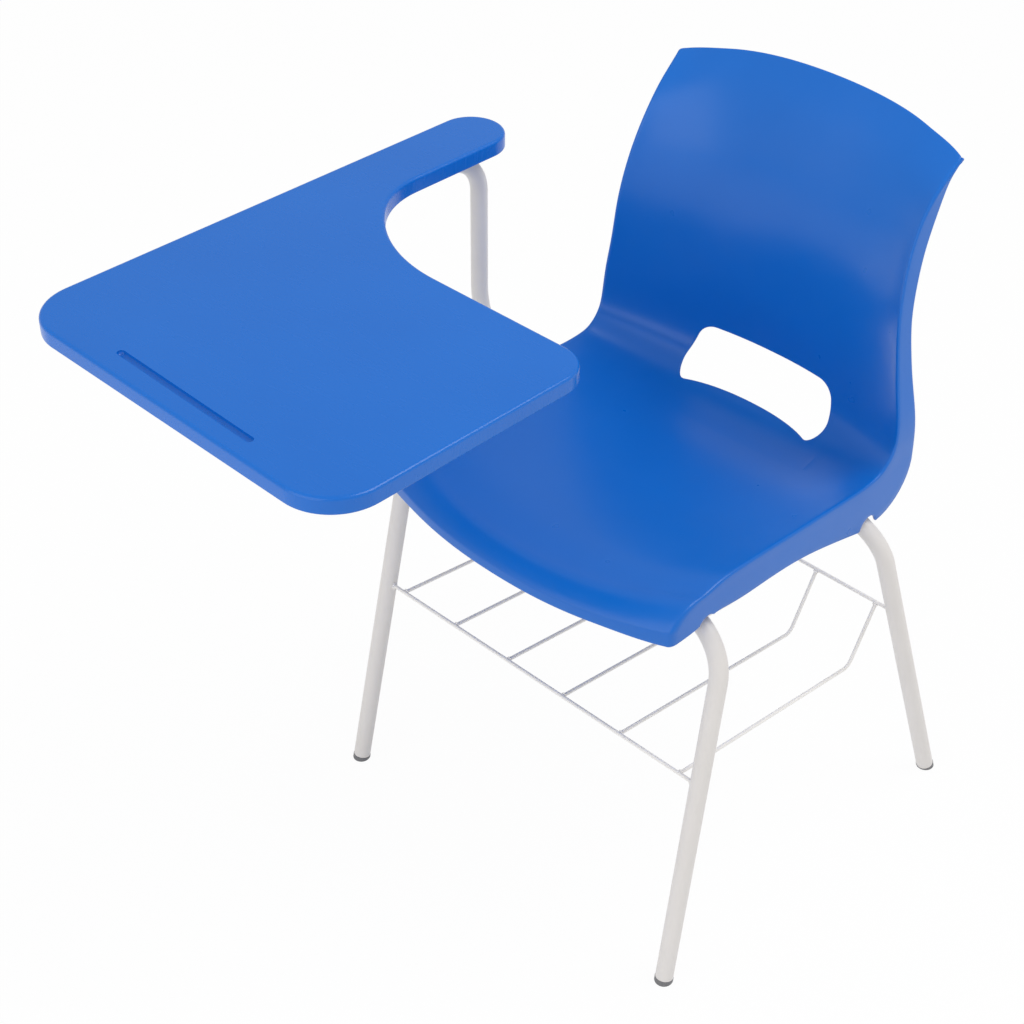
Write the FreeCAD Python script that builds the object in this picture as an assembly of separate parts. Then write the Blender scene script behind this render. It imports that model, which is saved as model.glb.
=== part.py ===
"""School chair with a writing tablet.

A moulded seat shell stands on two bent tube leg frames joined by rails. An arm tube carries
a moulded writing tablet on the sitter's right, and a wire book rack hangs between the legs.

Millimetres, +Z up, +X to the sitter's left, -Y to the front. The model is laid out about the
chair's own middle plane, x = 0, on the floor, z = 0. At the end everything is moved so that
the origin is the middle of the whole part's footprint box on the floor.
"""
import FreeCAD, Part
import math
import os

V = FreeCAD.Vector
X_AXIS = V(1, 0, 0)
Y_AXIS = V(0, 1, 0)
Z_AXIS = V(0, 0, 1)

# Steel tube, wire and strip
TUBE_D = 19.0               # outside diameter of every tube
TUBE_BORE = 16.0            # and inside diameter
WIRE_D = 4.0
STRIP_T = 3.0               # thickness of the tablet's brackets
WELD_GAP = 0.05             # between round pieces that are welded side by side
FIT_GAP = 0.1               # round a screw, and round a plug in its tube
OVERRUN = 5.0               # how far a cutting shape runs past what it cuts

# Seat shell, its rim seen from the side
SHELL_T = 4.0               # moulded wall
SEAT_HALF = 200.0           # half the width over the seat
RIM_Z = 457.0               # rim of the seat beside the back
SEAT_FRONT_Y = -211.0       # front corners of the seat
BACK_Y = 127.0              # rim of the back, low down
RIM_WAVE = 11.0             # how far the seat's rim rises towards the knees
FOLD_R = 24.0               # the front edge rolls down with this radius
LIP_Z = 429.0               # lower edge of the front lip at the corners
RIM_BEND_R = 35.0           # from seat to back, along the rim
LEAN_Z = 605.0              # above this the back leans away
LEAN_R = 220.0              # radius of that lean
TOP_Z = 765.0               # top corners of the back

# Seat shell, its form across the width
FRONT_BOW = 34.0            # the front edge stands forward in the middle
LIP_SAG = 9.0               # and hangs lower there
FRONT_DISH = 18.0           # depth of the seat's dish near the front
REAR_DISH = 35.0            # and near the back
BACK_DISH = 50.0            # the back wraps round the sitter by this much
TOP_DISH = 33.0             # and by this much at its top
TOP_ARCH = 24.0             # the top edge rises in the middle
CENTRE_BEND_R = 52.0        # from seat to back, on the middle plane
DISH_POWER = 2.2            # 2 is a parabola, more is a flatter middle
TOP_POWER = 5.5
ARCH_POWER = 1.8

# Seat shell, skirt and flange
SKIRT_DEPTH = 60.0          # deepest part of the skirt below the rim
FLANGE_DEPTH = 27.0         # depth of the flange behind the back's rim
HEEL_R = 55.0               # the skirt turns up into the flange with this radius
HEEL_OUT = 5.0              # and stands out behind the flange there
FRONT_NOTCH_W = 28.0        # arched notch where the front tube leaves the skirt
FRONT_NOTCH_Z = 437.5       # its crown
FRONT_NOTCH_SETBACK = 51.0  # its middle behind the seat's front corners
REAR_NOTCH_W = 26.0         # the same for the rear tube
REAR_NOTCH_Z = 411.0

# Seat shell, hand slot in the lower back
SLOT_LOW_Z = 430.0
SLOT_HIGH_Z = 484.0
SLOT_LOW_HALF = 102.0
SLOT_HIGH_HALF = 86.0
SLOT_LOW_R = 15.0
SLOT_HIGH_R = 22.0

# Seat shell, underside
BOSS_D = 24.0
BOSS_X = 135.0              # bosses sit on the cross runs of both leg frames
SADDLE_DEPTH = 5.0          # how far a boss reaches down beside the tube
RIB_T = 3.0
RIB_DEPTH = 8.0
RIB_PITCH = 60.0
RIB_FRONT_INSET = 95.0      # from the seat's front corners to the first cross rib
RIB_REAR_INSET = 55.0       # from the back's rim to the last one

# Leg frames
FRAME_BEND_R = 60.0         # centreline radius under the seat
FRONT_SETBACK = 61.0        # cross run behind the seat's front corners
REAR_SETBACK = 30.0         # cross run before the back's rim
FRONT_PAD = 15.0            # shell's underside above the front run, on the middle plane
REAR_PAD = 6.5
FRONT_CORNER_X = 216.5      # where the centrelines of run and leg would cross
REAR_CORNER_X = 213.0
FRONT_SPLAY_X = 17.0        # a front foot stands outside that corner
FRONT_SPLAY_Y = 77.0        # and ahead of it
REAR_SPLAY_X = 30.7
REAR_SPLAY_Y = 130.0
RAIL_X = 95.0               # rails between the two cross runs

# Foot plugs
PLUG_CAP_H = 5.0            # the part below the tube
PLUG_CAP_D = 19.8
PLUG_STEM = 22.0            # the part inside it

# Book rack
RACK_FRONT_Z = 245.5
RACK_REAR_Z = 272.4
RACK_LOW_Z = 204.0
RACK_LOW_SETBACK = 38.0     # lowest point ahead of the rear wire
RACK_INSET = 25.5           # outermost long wire inside the leg's centreline
RACK_BEND_R = 12.0
RACK_WIRES = 6

# Writing tablet
TABLET_TOP_Z = 685.0
TABLET_T = 17.0
TABLET_WALL = 4.0
TABLET_OUTER_X = -345.0     # outer edge, on the sitter's right
TABLET_WIDTH = 434.0
TABLET_FRONT_Y = -512.0
TABLET_DEPTH = 308.0
ELBOW_WIDTH = 73.0          # the strip that runs back along the forearm
ELBOW_END_Y = 69.5
FRONT_CORNER_R = 55.0       # its two front corners
REAR_CORNER_R = 36.0        # and the one beside the sitter
COVE_X = 157.0              # the inner corner is a quarter oval, this wide
COVE_Y = 125.0              # and this deep
COVE_R = 100.0              # its tighter radius
TOP_EDGE_R = 3.5
LOW_EDGE_R = 1.5
GROOVE_LENGTH = 196.0
GROOVE_WIDTH = 11.0
GROOVE_DEPTH = 4.5
GROOVE_INSET_X = 119.0      # from the outer edge
GROOVE_INSET_Y = 27.0       # from the front edge to its middle
TABLET_RIB_T = 2.5
TABLET_RIB_PITCH = 62.0
TABLET_RIB_RISE = 4.0       # ribs stop this far above the lower edge
TABLET_BOSS_D = 12.0

# Arm tube
POST_INSET = 24.5           # post's centreline before the elbow strip's end
POST_TOP_R = 45.0
POST_LOW_R = 105.0
TURN_R = 60.0               # where it turns inwards under the tablet
TURN_INSET = 155.0          # that stretch behind the tablet's front edge
ARM_END_INSET = 70.0        # its end inside the tablet's right edge
ARM_TAIL = 35.0             # how far the lower end runs past the far rail
CAP_T = 3.0                 # head of the caps in its two ends
CAP_STEM = 15.0

# Tablet brackets
BRACKET_W = 30.0
BRACKET_CORNER_R = 6.0
BRACKET_EDGE = 8.0              # screws in from a bracket's ends
ELBOW_BRACKET_L = 56.0
BOARD_BRACKET_L = 86.0
ELBOW_BRACKET_SETBACK = 92.0    # behind it, the end of the elbow strip
SIDE_BRACKET_INSET = 270.0      # from the tablet's front edge
FIRST_CROSS_INSET = 230.0       # from the tablet's outer edge
SECOND_CROSS_INSET = 335.0

# Screws
SEAT_SCREW_D = 6.0
SEAT_SCREW_HEAD_D = 13.0
SEAT_SCREW_HEAD_H = 4.0
SEAT_SCREW_GRIP = 8.0       # how far it reaches into a boss
TABLET_SCREW_D = 4.5
TABLET_SCREW_HEAD_D = 9.0
TABLET_SCREW_HEAD_H = 2.5
TABLET_SCREW_GRIP = 11.0

DIAGONAL = math.sin(math.radians(45))

# Shares that shape the shell
SECTION_shares = (-1, -0.9, -0.75, -0.5, -0.25, 0, 0.25, 0.5, 0.75, 0.9, 1)
RIM_WAVE_shares = ((0, 0), (0.22, 0.12), (0.44, 0.46), (0.64, 0.8), (0.78, 1), (0.9, 0.95), (1, 0.6))
BEND_shares = (0, 0.25, 0.5, 0.75, 1)
BACK_shares = (0.14, 0.3, 0.46, 0.62, 0.78, 0.9, 1)
OUTLINE_shares = ((0, 1), (0.13, 0.985), (0.32, 0.95), (0.51, 0.915), (0.7, 0.88), (0.88, 0.85), (1, 0.862))
SKIRT_shares = ((0.1, 0.51), (0.187, 0.39), (0.26, 0.44), (0.4, 0.52), (0.57, 0.6), (0.72, 0.77), (0.86, 0.97))
FLANGE_shares = ((0.05, 1.15), (0.19, 0.99), (0.34, 0.88), (0.45, 0.86), (0.56, 0.93), (0.69, 1), (0.85, 1),
                 (0.95, 0.78), (1, 0.4))
INSIDE_WALL_share = 0.6     # how deep other solids reach into a moulded wall


def line(a, b):
    return Part.LineSegment(a, b).toShape()


def arc(a, m, b):
    return Part.Arc(a, m, b).toShape()


def spline(points, start=None, end=None):
    """A smooth edge through points, with a direction at each end where one is given."""
    curve = Part.BSplineCurve()
    if start is not None and end is not None:
        curve.interpolate(Points=points, InitialTangent=start, FinalTangent=end)
    else:
        curve.interpolate(Points=points)
    return curve.toShape()


def between(low, high, share):
    return low + (high - low) * share


# Bent tube and wire


def rounded_path(points, radii):
    """Straight edges through points, with a tangent arc of the given radius at each inner point."""
    edges = []
    start = points[0]
    for before, corner, after, bend in zip(points, points[1:], points[2:], radii):
        way_in = (corner - before).normalize()
        way_out = (after - corner).normalize()
        turn = way_in.getAngle(way_out)
        reach = bend * math.tan(turn / 2)
        first = corner - way_in * reach
        last = corner + way_out * reach
        inward = (way_out - way_in).normalize()
        middle = corner + inward * (bend / math.cos(turn / 2) - bend)
        if start.distanceToPoint(first) > FIT_GAP:
            edges.append(line(start, first))
        edges.append(arc(first, middle, last))
        start = last
    edges.append(line(start, points[-1]))
    return edges


def rounded_loop(corners, radii):
    """A closed wire through corners, each with an arc of its own radius."""
    start = (corners[-1] + corners[0]) * 0.5
    return Part.Wire(rounded_path([start] + corners + [start], radii))


def swept_round(points, radii, diameter):
    """A solid of round section along a bent path."""
    path = Part.Wire(rounded_path(points, radii))
    section = Part.Wire(Part.makeCircle(diameter / 2, points[0], points[1] - points[0]))
    return path.makePipeShell([section], True, False)


def bent_tube(points, radii):
    """A hollow tube, open at both ends."""
    outside = swept_round(points, radii, TUBE_D)
    return outside.cut(swept_round(points, radii, TUBE_BORE))


def rod(start, end, diameter):
    return Part.makeCylinder(diameter / 2, (end - start).Length, start, end - start)


def along(start, end, share):
    return start + (end - start) * share


def at_height(start, end, z):
    """The point of a straight line at height z."""
    return along(start, end, (z - start.z) / (end.z - start.z))


def across(point):
    """The same point on the other side of the chair's middle plane."""
    return V(-point.x, point.y, point.z)


def mirrored(shape):
    return shape.mirror(V(0, 0, 0), X_AXIS)


# Form of the seat shell


def dish_share(x, half, power):
    """1 on the middle plane, 0 at the rim, and on in a straight line beyond it."""
    out = abs(x / half)
    return 1 - out ** power if out < 1 else power * (1 - out)


def half_width(z):
    """Half the shell's width at height z, from the points of its outline."""
    heights = [between(RIM_Z, TOP_Z, up) for up, _ in OUTLINE_shares]
    widths = [SEAT_HALF * wide for _, wide in OUTLINE_shares]
    if z <= heights[0]:
        return widths[0]
    for low, high, w_low, w_high in zip(heights, heights[1:], widths, widths[1:]):
        if z <= high:
            return between(w_low, w_high, (z - low) / (high - low))
    return widths[-1]


def lean(z):
    """How far back the rim of the back stands at height z."""
    rise = max(z - LEAN_Z, 0)
    return BACK_Y + LEAN_R - math.sqrt(LEAN_R ** 2 - rise ** 2)


class Station:
    """One lengthwise section of the shell at width x, or its rim when x is None."""

    def __init__(self, x):
        self.x = x
        self.dish = self.share_at(SEAT_HALF)
        self.bend_r = between(RIM_BEND_R, CENTRE_BEND_R, self.dish)
        self.rear_y = BACK_Y + BACK_DISH * self.dish - self.bend_r
        self.lip_y = SEAT_FRONT_Y - FRONT_BOW * self.dish
        self.lip_z = LIP_Z - LIP_SAG * self.dish
        self.fold_y = self.lip_y + FOLD_R

    def share_at(self, half, power=DISH_POWER):
        return 0 if self.x is None else dish_share(self.x, half, power)

    def seat_z(self, share):
        """Height of the seat's upper face, from the back bend, 0, to the front fold, 1."""
        for (low, w_low), (high, w_high) in zip(RIM_WAVE_shares, RIM_WAVE_shares[1:]):
            if share <= high:
                break
        wave = between(w_low, w_high, (share - low) / (high - low))
        return RIM_Z + RIM_WAVE * wave - between(REAR_DISH, FRONT_DISH, share) * self.dish

    def seat_z_at(self, y):
        return self.seat_z((y - self.rear_y) / (self.fold_y - self.rear_y))

    def face_points(self):
        """Points (y, z) of the front face, from the front fold to the top edge."""
        points = []
        for share, _ in reversed(RIM_WAVE_shares):
            points.append((between(self.rear_y, self.fold_y, share), self.seat_z(share)))
        middle_z = self.seat_z(0) + self.bend_r
        for share in BEND_shares[1:]:
            turn = math.radians(90 * share)
            points.append((self.rear_y + self.bend_r * math.sin(turn), middle_z - self.bend_r * math.cos(turn)))
        top = TOP_Z + TOP_ARCH * self.share_at(half_width(TOP_Z), ARCH_POWER)
        for share in BACK_shares:
            rim_z = between(RIM_Z + RIM_BEND_R, TOP_Z, share)
            dish = self.share_at(half_width(rim_z), between(DISH_POWER, TOP_POWER, share))
            depth = between(BACK_DISH, TOP_DISH, share) * dish
            points.append((lean(rim_z) + depth, between(middle_z, top, share)))
        return points

    def face_edges(self, depth):
        """Front lip, fold and long curve of the face that lies depth behind the front face."""
        x = 0 if self.x is None else self.x
        points = self.face_points()
        radius = FOLD_R - depth
        low = points[0][1] - FOLD_R
        lip_y = self.lip_y + depth
        curve = [V(x, y, z) for y, z in set_back(points, depth)]
        return [
            line(V(x, lip_y, self.lip_z), V(x, lip_y, low)),
            arc(
                V(x, lip_y, low),
                V(x, self.fold_y - radius * DIAGONAL, low + radius * DIAGONAL),
                V(x, self.fold_y, low + radius),
            ),
            spline(curve, Y_AXIS, (curve[-1] - curve[-2]).normalize()),
        ]


def set_back(points, depth):
    """Points moved by depth away from the sitter, square to the line through their neighbours."""
    moved = []
    for i, (y, z) in enumerate(points):
        y_a, z_a = points[max(i - 1, 0)]
        y_b, z_b = points[min(i + 1, len(points) - 1)]
        if i == 0:
            z_b = z_a
        run = math.hypot(y_b - y_a, z_b - z_a)
        moved.append((y + depth * (z_b - z_a) / run, z - depth * (y_b - y_a) / run))
    return moved


def shell_layer(depth_a, depth_b):
    """The solid between two depths behind the front face, over more than the full width."""
    wires = []
    for share in SECTION_shares:
        station = Station((SEAT_HALF + OVERRUN) * share)
        outer = station.face_edges(depth_a)
        inner = station.face_edges(depth_b)
        top = line(outer[-1].Vertexes[-1].Point, inner[-1].Vertexes[-1].Point)
        bottom = line(inner[0].Vertexes[0].Point, outer[0].Vertexes[0].Point)
        wires.append(Part.Wire(outer + [top] + list(reversed(inner)) + [bottom]))
    return Part.makeLoft(wires, True, False)


def outline_edges(side, inset):
    """Front view of one edge of the shell, from below the seat to above the top."""
    points = []
    for up, wide in OUTLINE_shares:
        points.append(V(side * (SEAT_HALF * wide - inset), 0, between(RIM_Z, TOP_Z, up)))
    low = points[0] - V(0, 0, SKIRT_DEPTH + OVERRUN)
    top = points[-1] + V(0, 0, TOP_ARCH + OVERRUN)
    return [line(low, points[0]), spline(points), line(points[-1], top)], low, top


def outline_slab(side_a, inset_a, side_b, inset_b):
    """All that lies between two copies of the side outline, from front to back."""
    left, left_low, left_top = outline_edges(side_a, inset_a)
    right, right_low, right_top = outline_edges(side_b, inset_b)
    wire = Part.Wire(left + [line(left_top, right_top)] + list(reversed(right)) + [line(right_low, left_low)])
    reach = Y_AXIS * (BACK_Y - SEAT_FRONT_Y)
    return Part.Face(wire).translated(-reach).extrude(reach * 2)


def side_view():
    """Face of skirt and flange seen from the side, from the middle of the wall at the rim."""
    rim = Station(None).face_edges(SHELL_T * INSIDE_WALL_share)
    lip_low = rim[0].Vertexes[0].Point
    skirt = [lip_low]
    for back, down in SKIRT_shares:
        skirt.append(V(0, between(lip_low.y, BACK_Y, back), RIM_Z - SKIRT_DEPTH * down))
    flange = []
    for up, deep in FLANGE_shares:
        z = between(RIM_Z + RIM_BEND_R, TOP_Z, up)
        flange.append(V(0, lean(z) + FLANGE_DEPTH * deep, z))
    heel_y = flange[0].y + HEEL_OUT
    heel_z = skirt[-1].z + HEEL_R
    heel_back = V(0, heel_y, heel_z)
    heel_low = V(0, heel_y - HEEL_R, skirt[-1].z)
    heel_mid = V(0, heel_y - HEEL_R * (1 - DIAGONAL), heel_z - HEEL_R * DIAGONAL)
    back_edge = [
        line(rim[2].Vertexes[-1].Point, flange[-1]),
        spline(list(reversed(flange)) + [heel_back]),
        arc(heel_back, heel_mid, heel_low),
        line(heel_low, skirt[-1]),
        spline(list(reversed(skirt))),
    ]
    return Part.Face(Part.Wire(rim + back_edge))


def side_walls():
    """Skirt and flange of both sides: their side view, kept along the shell's two edges."""
    reach = X_AXIS * (SEAT_HALF + OVERRUN)
    slab = side_view().translated(-reach).extrude(reach * 2)
    return [slab.common(outline_slab(side, 0, side, SHELL_T)) for side in (1, -1)]


def tube_notch(y, width, crown_z):
    """Arched cutter through both side walls, over a tube."""
    reach = SEAT_HALF + OVERRUN
    centre_z = crown_z - width / 2
    arch = Part.makeCylinder(width / 2, 2 * reach, V(-reach, y, centre_z), X_AXIS)
    below = Part.makeBox(2 * reach, width, SKIRT_DEPTH, V(-reach, y - width / 2, centre_z - SKIRT_DEPTH))
    inner = SEAT_HALF - SHELL_T - OVERRUN
    keep = Part.makeBox(2 * inner, 2 * width, 2 * RIM_Z, V(-inner, y - width, 0))
    return arch.fuse(below).cut(keep)


def hand_slot():
    """Cutter for the slot through the lower back."""
    front = BACK_Y - OVERRUN
    corners = [
        V(SLOT_LOW_HALF, front, SLOT_LOW_Z),
        V(SLOT_HIGH_HALF, front, SLOT_HIGH_Z),
        V(-SLOT_HIGH_HALF, front, SLOT_HIGH_Z),
        V(-SLOT_LOW_HALF, front, SLOT_LOW_Z),
    ]
    loop = rounded_loop(corners, [SLOT_LOW_R, SLOT_HIGH_R, SLOT_HIGH_R, SLOT_LOW_R])
    return Part.Face(loop).extrude(Y_AXIS * (2 * BACK_DISH))


def underside_ribs():
    """Grid of ribs under the seat, as deep as RIB_DEPTH everywhere."""
    start = SEAT_FRONT_Y + RIB_FRONT_INSET
    length = BACK_Y - RIB_REAR_INSET - start
    bars = []
    half_count = int((SEAT_HALF - BOSS_D) / RIB_PITCH)
    for i in range(-half_count, half_count + 1):
        bars.append(Part.makeBox(RIB_T, length, RIM_Z, V(i * RIB_PITCH - RIB_T / 2, start, 0)))
    for i in range(int(length / RIB_PITCH) + 1):
        y = start + i * RIB_PITCH
        bars.append(Part.makeBox(2 * SEAT_HALF - SHELL_T, RIB_T, RIM_Z, V(SHELL_T / 2 - SEAT_HALF, y, 0)))
    grid = bars[0].fuse(bars[1:])
    return grid.common(shell_layer(SHELL_T * INSIDE_WALL_share, SHELL_T + RIB_DEPTH))


# Places that several pieces share

BOSS_STATION = Station(BOSS_X)
MIDDLE_STATION = Station(0)


class LegFrame:
    """One inverted U of tube: a cross run under the seat and two splayed legs."""

    def __init__(self, run_y, pad, corner_x, splay_x, splay_y):
        self.run_y = run_y
        self.run_z = MIDDLE_STATION.seat_z_at(run_y) - SHELL_T - pad - TUBE_D / 2
        self.corner = V(corner_x, run_y, self.run_z)
        self.foot = V(corner_x + splay_x, run_y + splay_y, 0)
        self.tube_end = at_height(self.corner, self.foot, PLUG_CAP_H)

    def run_rod(self):
        """The cross run's outside, with room for a weld, to cope whatever meets it."""
        return rod(across(self.corner), self.corner, TUBE_D + 2 * WELD_GAP)

    def leg_rods(self):
        left = rod(self.corner, self.foot, TUBE_D)
        return left.fuse(mirrored(left))

    def tube(self):
        points = [across(self.tube_end), across(self.corner), self.corner, self.tube_end]
        frame = bent_tube(points, [FRAME_BEND_R, FRAME_BEND_R])
        return frame.cut(self.screw_holes(self.run_z - TUBE_D, self.run_z + TUBE_D))

    def screw_holes(self, low, high):
        hole = Part.makeCylinder(SEAT_SCREW_D / 2 + FIT_GAP, high - low, V(BOSS_X, self.run_y, low))
        return hole.fuse(mirrored(hole))

    def foot_plug(self, side):
        """Moulded glide: a stem in the tube and a cap cut flat where it stands on the floor."""
        way = (self.foot - self.corner).normalize()
        stem = rod(self.tube_end - way * PLUG_STEM, self.tube_end, TUBE_BORE - 2 * FIT_GAP)
        cap = rod(self.tube_end, self.foot + way * PLUG_CAP_D, PLUG_CAP_D)
        ground = Part.makeBox(PLUG_STEM * 4, PLUG_STEM * 4, PLUG_STEM * 2)
        ground.translate(self.foot - V(PLUG_STEM * 2, PLUG_STEM * 2, PLUG_STEM * 2))
        plug = stem.fuse(cap).cut(ground)
        return plug if side > 0 else mirrored(plug)

    def boss(self):
        """Moulded post on the shell's underside with a saddle for the cross run."""
        low = self.run_z + TUBE_D / 2 - SADDLE_DEPTH
        top = BOSS_STATION.seat_z_at(self.run_y)
        boss = Part.makeCylinder(BOSS_D / 2, top - low, V(BOSS_X, self.run_y, low))
        boss = boss.cut(rod(across(self.corner), self.corner, TUBE_D))
        return boss.fuse(mirrored(boss))

    def screw_bores(self):
        low = self.run_z
        high = self.run_z + TUBE_D / 2 + SEAT_SCREW_GRIP
        bore = Part.makeCylinder(SEAT_SCREW_D / 2, high - low, V(BOSS_X, self.run_y, low))
        return bore.fuse(mirrored(bore))

    def screws(self):
        low = self.run_z - TUBE_D / 2
        length = TUBE_D + SEAT_SCREW_GRIP
        shank = Part.makeCylinder(SEAT_SCREW_D / 2, length, V(BOSS_X, self.run_y, low))
        head = pan_head(V(BOSS_X, self.run_y, low), SEAT_SCREW_HEAD_D, SEAT_SCREW_HEAD_H)
        screw = shank.fuse(head)
        return [screw, mirrored(screw)]


def pan_head(seat, diameter, height):
    """Low screw head with a bevelled edge, hanging below seat."""
    head = Part.makeCylinder(diameter / 2, height, seat - V(0, 0, height))
    rim = [edge for edge in head.Edges if edge.BoundBox.ZMax < seat.z - height / 2]
    return head.makeChamfer(height / 2, rim)


FRONT_FRAME = LegFrame(SEAT_FRONT_Y + FRONT_SETBACK, FRONT_PAD, FRONT_CORNER_X, FRONT_SPLAY_X, -FRONT_SPLAY_Y)
REAR_FRAME = LegFrame(BACK_Y - REAR_SETBACK, REAR_PAD, REAR_CORNER_X, REAR_SPLAY_X, REAR_SPLAY_Y)
FRAMES = (FRONT_FRAME, REAR_FRAME)


def seat_shell():
    """The moulded seat and back in one piece."""
    skin = shell_layer(0, SHELL_T).common(outline_slab(1, 0, -1, 0))
    above = shell_layer(-OVERRUN, SHELL_T * INSIDE_WALL_share)
    bosses = [frame.boss().cut(above) for frame in FRAMES]
    shell = skin.fuse(side_walls() + [underside_ribs()] + bosses)
    front_notch = tube_notch(SEAT_FRONT_Y + FRONT_NOTCH_SETBACK, FRONT_NOTCH_W, FRONT_NOTCH_Z)
    rear_notch = tube_notch(REAR_FRAME.run_y, REAR_NOTCH_W, REAR_NOTCH_Z)
    bores = [frame.screw_bores() for frame in FRAMES]
    return shell.cut([front_notch, rear_notch, hand_slot()] + bores)


# Rails and book rack


def seat_rail(side):
    """Tube from one cross run to the other, coped round both."""
    x = side * RAIL_X
    front = V(x, FRONT_FRAME.run_y, FRONT_FRAME.run_z)
    rear = V(x, REAR_FRAME.run_y, REAR_FRAME.run_z)
    tube = rod(front, rear, TUBE_D).cut(rod(front, rear, TUBE_BORE))
    return tube.cut([frame.run_rod() for frame in FRAMES])


RACK_FRONT = at_height(FRONT_FRAME.corner, FRONT_FRAME.foot, RACK_FRONT_Z)
RACK_REAR = at_height(REAR_FRAME.corner, REAR_FRAME.foot, RACK_REAR_Z)


def rack_cross_wire(end, frame):
    """Straight wire welded between the two legs of a frame."""
    return rod(across(end), end, WIRE_D).cut(frame.leg_rods())


def rack_long_wire(x):
    """Wire from the front cross wire down to its lowest point and up to the rear one."""
    front = V(x, RACK_FRONT.y, RACK_FRONT.z)
    rear = V(x, RACK_REAR.y, RACK_REAR.z)
    low = V(x, rear.y - RACK_LOW_SETBACK, RACK_LOW_Z)
    wire = swept_round([front, low, rear], [RACK_BEND_R], WIRE_D)
    room = WIRE_D + 2 * WELD_GAP
    return wire.cut([rod(across(RACK_FRONT), RACK_FRONT, room), rod(across(RACK_REAR), RACK_REAR, room)])


def rack_wire_places():
    outer = RACK_FRONT.x - RACK_INSET
    return [between(-outer, outer, i / (RACK_WIRES - 1)) for i in range(RACK_WIRES)]


# Arm tube

TABLET_LOW_Z = TABLET_TOP_Z - TABLET_T
TABLET_REAR_Y = TABLET_FRONT_Y + TABLET_DEPTH
TABLET_INNER_X = TABLET_OUTER_X + TABLET_WIDTH
ARM_X = TABLET_OUTER_X + ELBOW_WIDTH / 2
ARM_TOP_Z = TABLET_LOW_Z - STRIP_T - TUBE_D / 2
TURN_Y = TABLET_FRONT_Y + TURN_INSET
POST_Y = ELBOW_END_Y - POST_INSET


def under_rails_z():
    """Height of the arm tube's centreline where it is welded below both rails."""
    run = REAR_FRAME.run_y - FRONT_FRAME.run_y
    drop = FRONT_FRAME.run_z - REAR_FRAME.run_z
    rail_z = FRONT_FRAME.run_z - drop * (POST_Y - FRONT_FRAME.run_y) / run
    return rail_z - (TUBE_D + WELD_GAP) * math.hypot(run, drop) / run


ARM_LOW_Z = under_rails_z()
ARM_LOW_END = V(RAIL_X + ARM_TAIL, POST_Y, ARM_LOW_Z)
ARM_HIGH_END = V(TABLET_INNER_X - ARM_END_INSET, TURN_Y, ARM_TOP_Z)


def arm_tube():
    points = [
        ARM_LOW_END,
        V(ARM_X, POST_Y, ARM_LOW_Z),
        V(ARM_X, POST_Y, ARM_TOP_Z),
        V(ARM_X, TURN_Y, ARM_TOP_Z),
        ARM_HIGH_END,
    ]
    return bent_tube(points, [POST_LOW_R, POST_TOP_R, TURN_R])


def tube_cap(end):
    """Moulded cap in an end of the arm tube that faces the sitter's left."""
    stem = rod(end - X_AXIS * CAP_STEM, end, TUBE_BORE - 2 * FIT_GAP)
    head = rod(end, end + X_AXIS * CAP_T, TUBE_D)
    rim = [edge for edge in head.Edges if edge.BoundBox.XMin > end.x + CAP_T / 2]
    return stem.fuse(head.makeChamfer(CAP_T / 2, rim))


# Tablet and its brackets


class Bracket:
    """Flat strip welded on the arm tube, with a screw near each end."""

    def __init__(self, x, y, length, along_x):
        self.centre = V(x, y, TABLET_LOW_Z - STRIP_T)
        self.length = length
        self.along_x = along_x
        self.way = X_AXIS if along_x else Y_AXIS

    def holes(self):
        reach = self.length / 2 - BRACKET_EDGE
        return [self.centre - self.way * reach, self.centre + self.way * reach]

    def strip(self):
        size_x, size_y = (self.length, BRACKET_W) if self.along_x else (BRACKET_W, self.length)
        strip = Part.makeBox(size_x, size_y, STRIP_T, self.centre - V(size_x / 2, size_y / 2, 0))
        upright = [edge for edge in strip.Edges if edge.BoundBox.ZLength > STRIP_T / 2]
        strip = strip.makeFillet(BRACKET_CORNER_R, upright)
        bores = [Part.makeCylinder(TABLET_SCREW_D / 2 + FIT_GAP, STRIP_T, place) for place in self.holes()]
        return strip.cut(bores)

    def screws(self):
        solids = []
        for place in self.holes():
            shank = Part.makeCylinder(TABLET_SCREW_D / 2, STRIP_T + TABLET_SCREW_GRIP, place)
            solids.append(shank.fuse(pan_head(place, TABLET_SCREW_HEAD_D, TABLET_SCREW_HEAD_H)))
        return solids

    def bosses(self):
        rise = TABLET_T - TABLET_WALL * INSIDE_WALL_share
        return [Part.makeCylinder(TABLET_BOSS_D / 2, rise, place + V(0, 0, STRIP_T)) for place in self.holes()]

    def bores(self):
        reach = TABLET_SCREW_GRIP
        return [Part.makeCylinder(TABLET_SCREW_D / 2, reach, place + V(0, 0, STRIP_T)) for place in self.holes()]


BRACKETS = {
    "tablet_bracket_elbow": Bracket(ARM_X, ELBOW_END_Y - ELBOW_BRACKET_SETBACK, ELBOW_BRACKET_L, True),
    "tablet_bracket_side": Bracket(ARM_X, TABLET_FRONT_Y + SIDE_BRACKET_INSET, ELBOW_BRACKET_L, True),
    "tablet_bracket_middle": Bracket(TABLET_OUTER_X + FIRST_CROSS_INSET, TURN_Y, BOARD_BRACKET_L, False),
    "tablet_bracket_inner": Bracket(TABLET_OUTER_X + SECOND_CROSS_INSET, TURN_Y, BOARD_BRACKET_L, False),
}


def turn(centre, radius, first, last):
    """Arc about centre from one direction to another, in degrees from +X."""
    ways = [math.radians(angle) for angle in (first, (first + last) / 2, last)]
    return arc(*[centre + V(radius * math.cos(way), radius * math.sin(way), 0) for way in ways])


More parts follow.
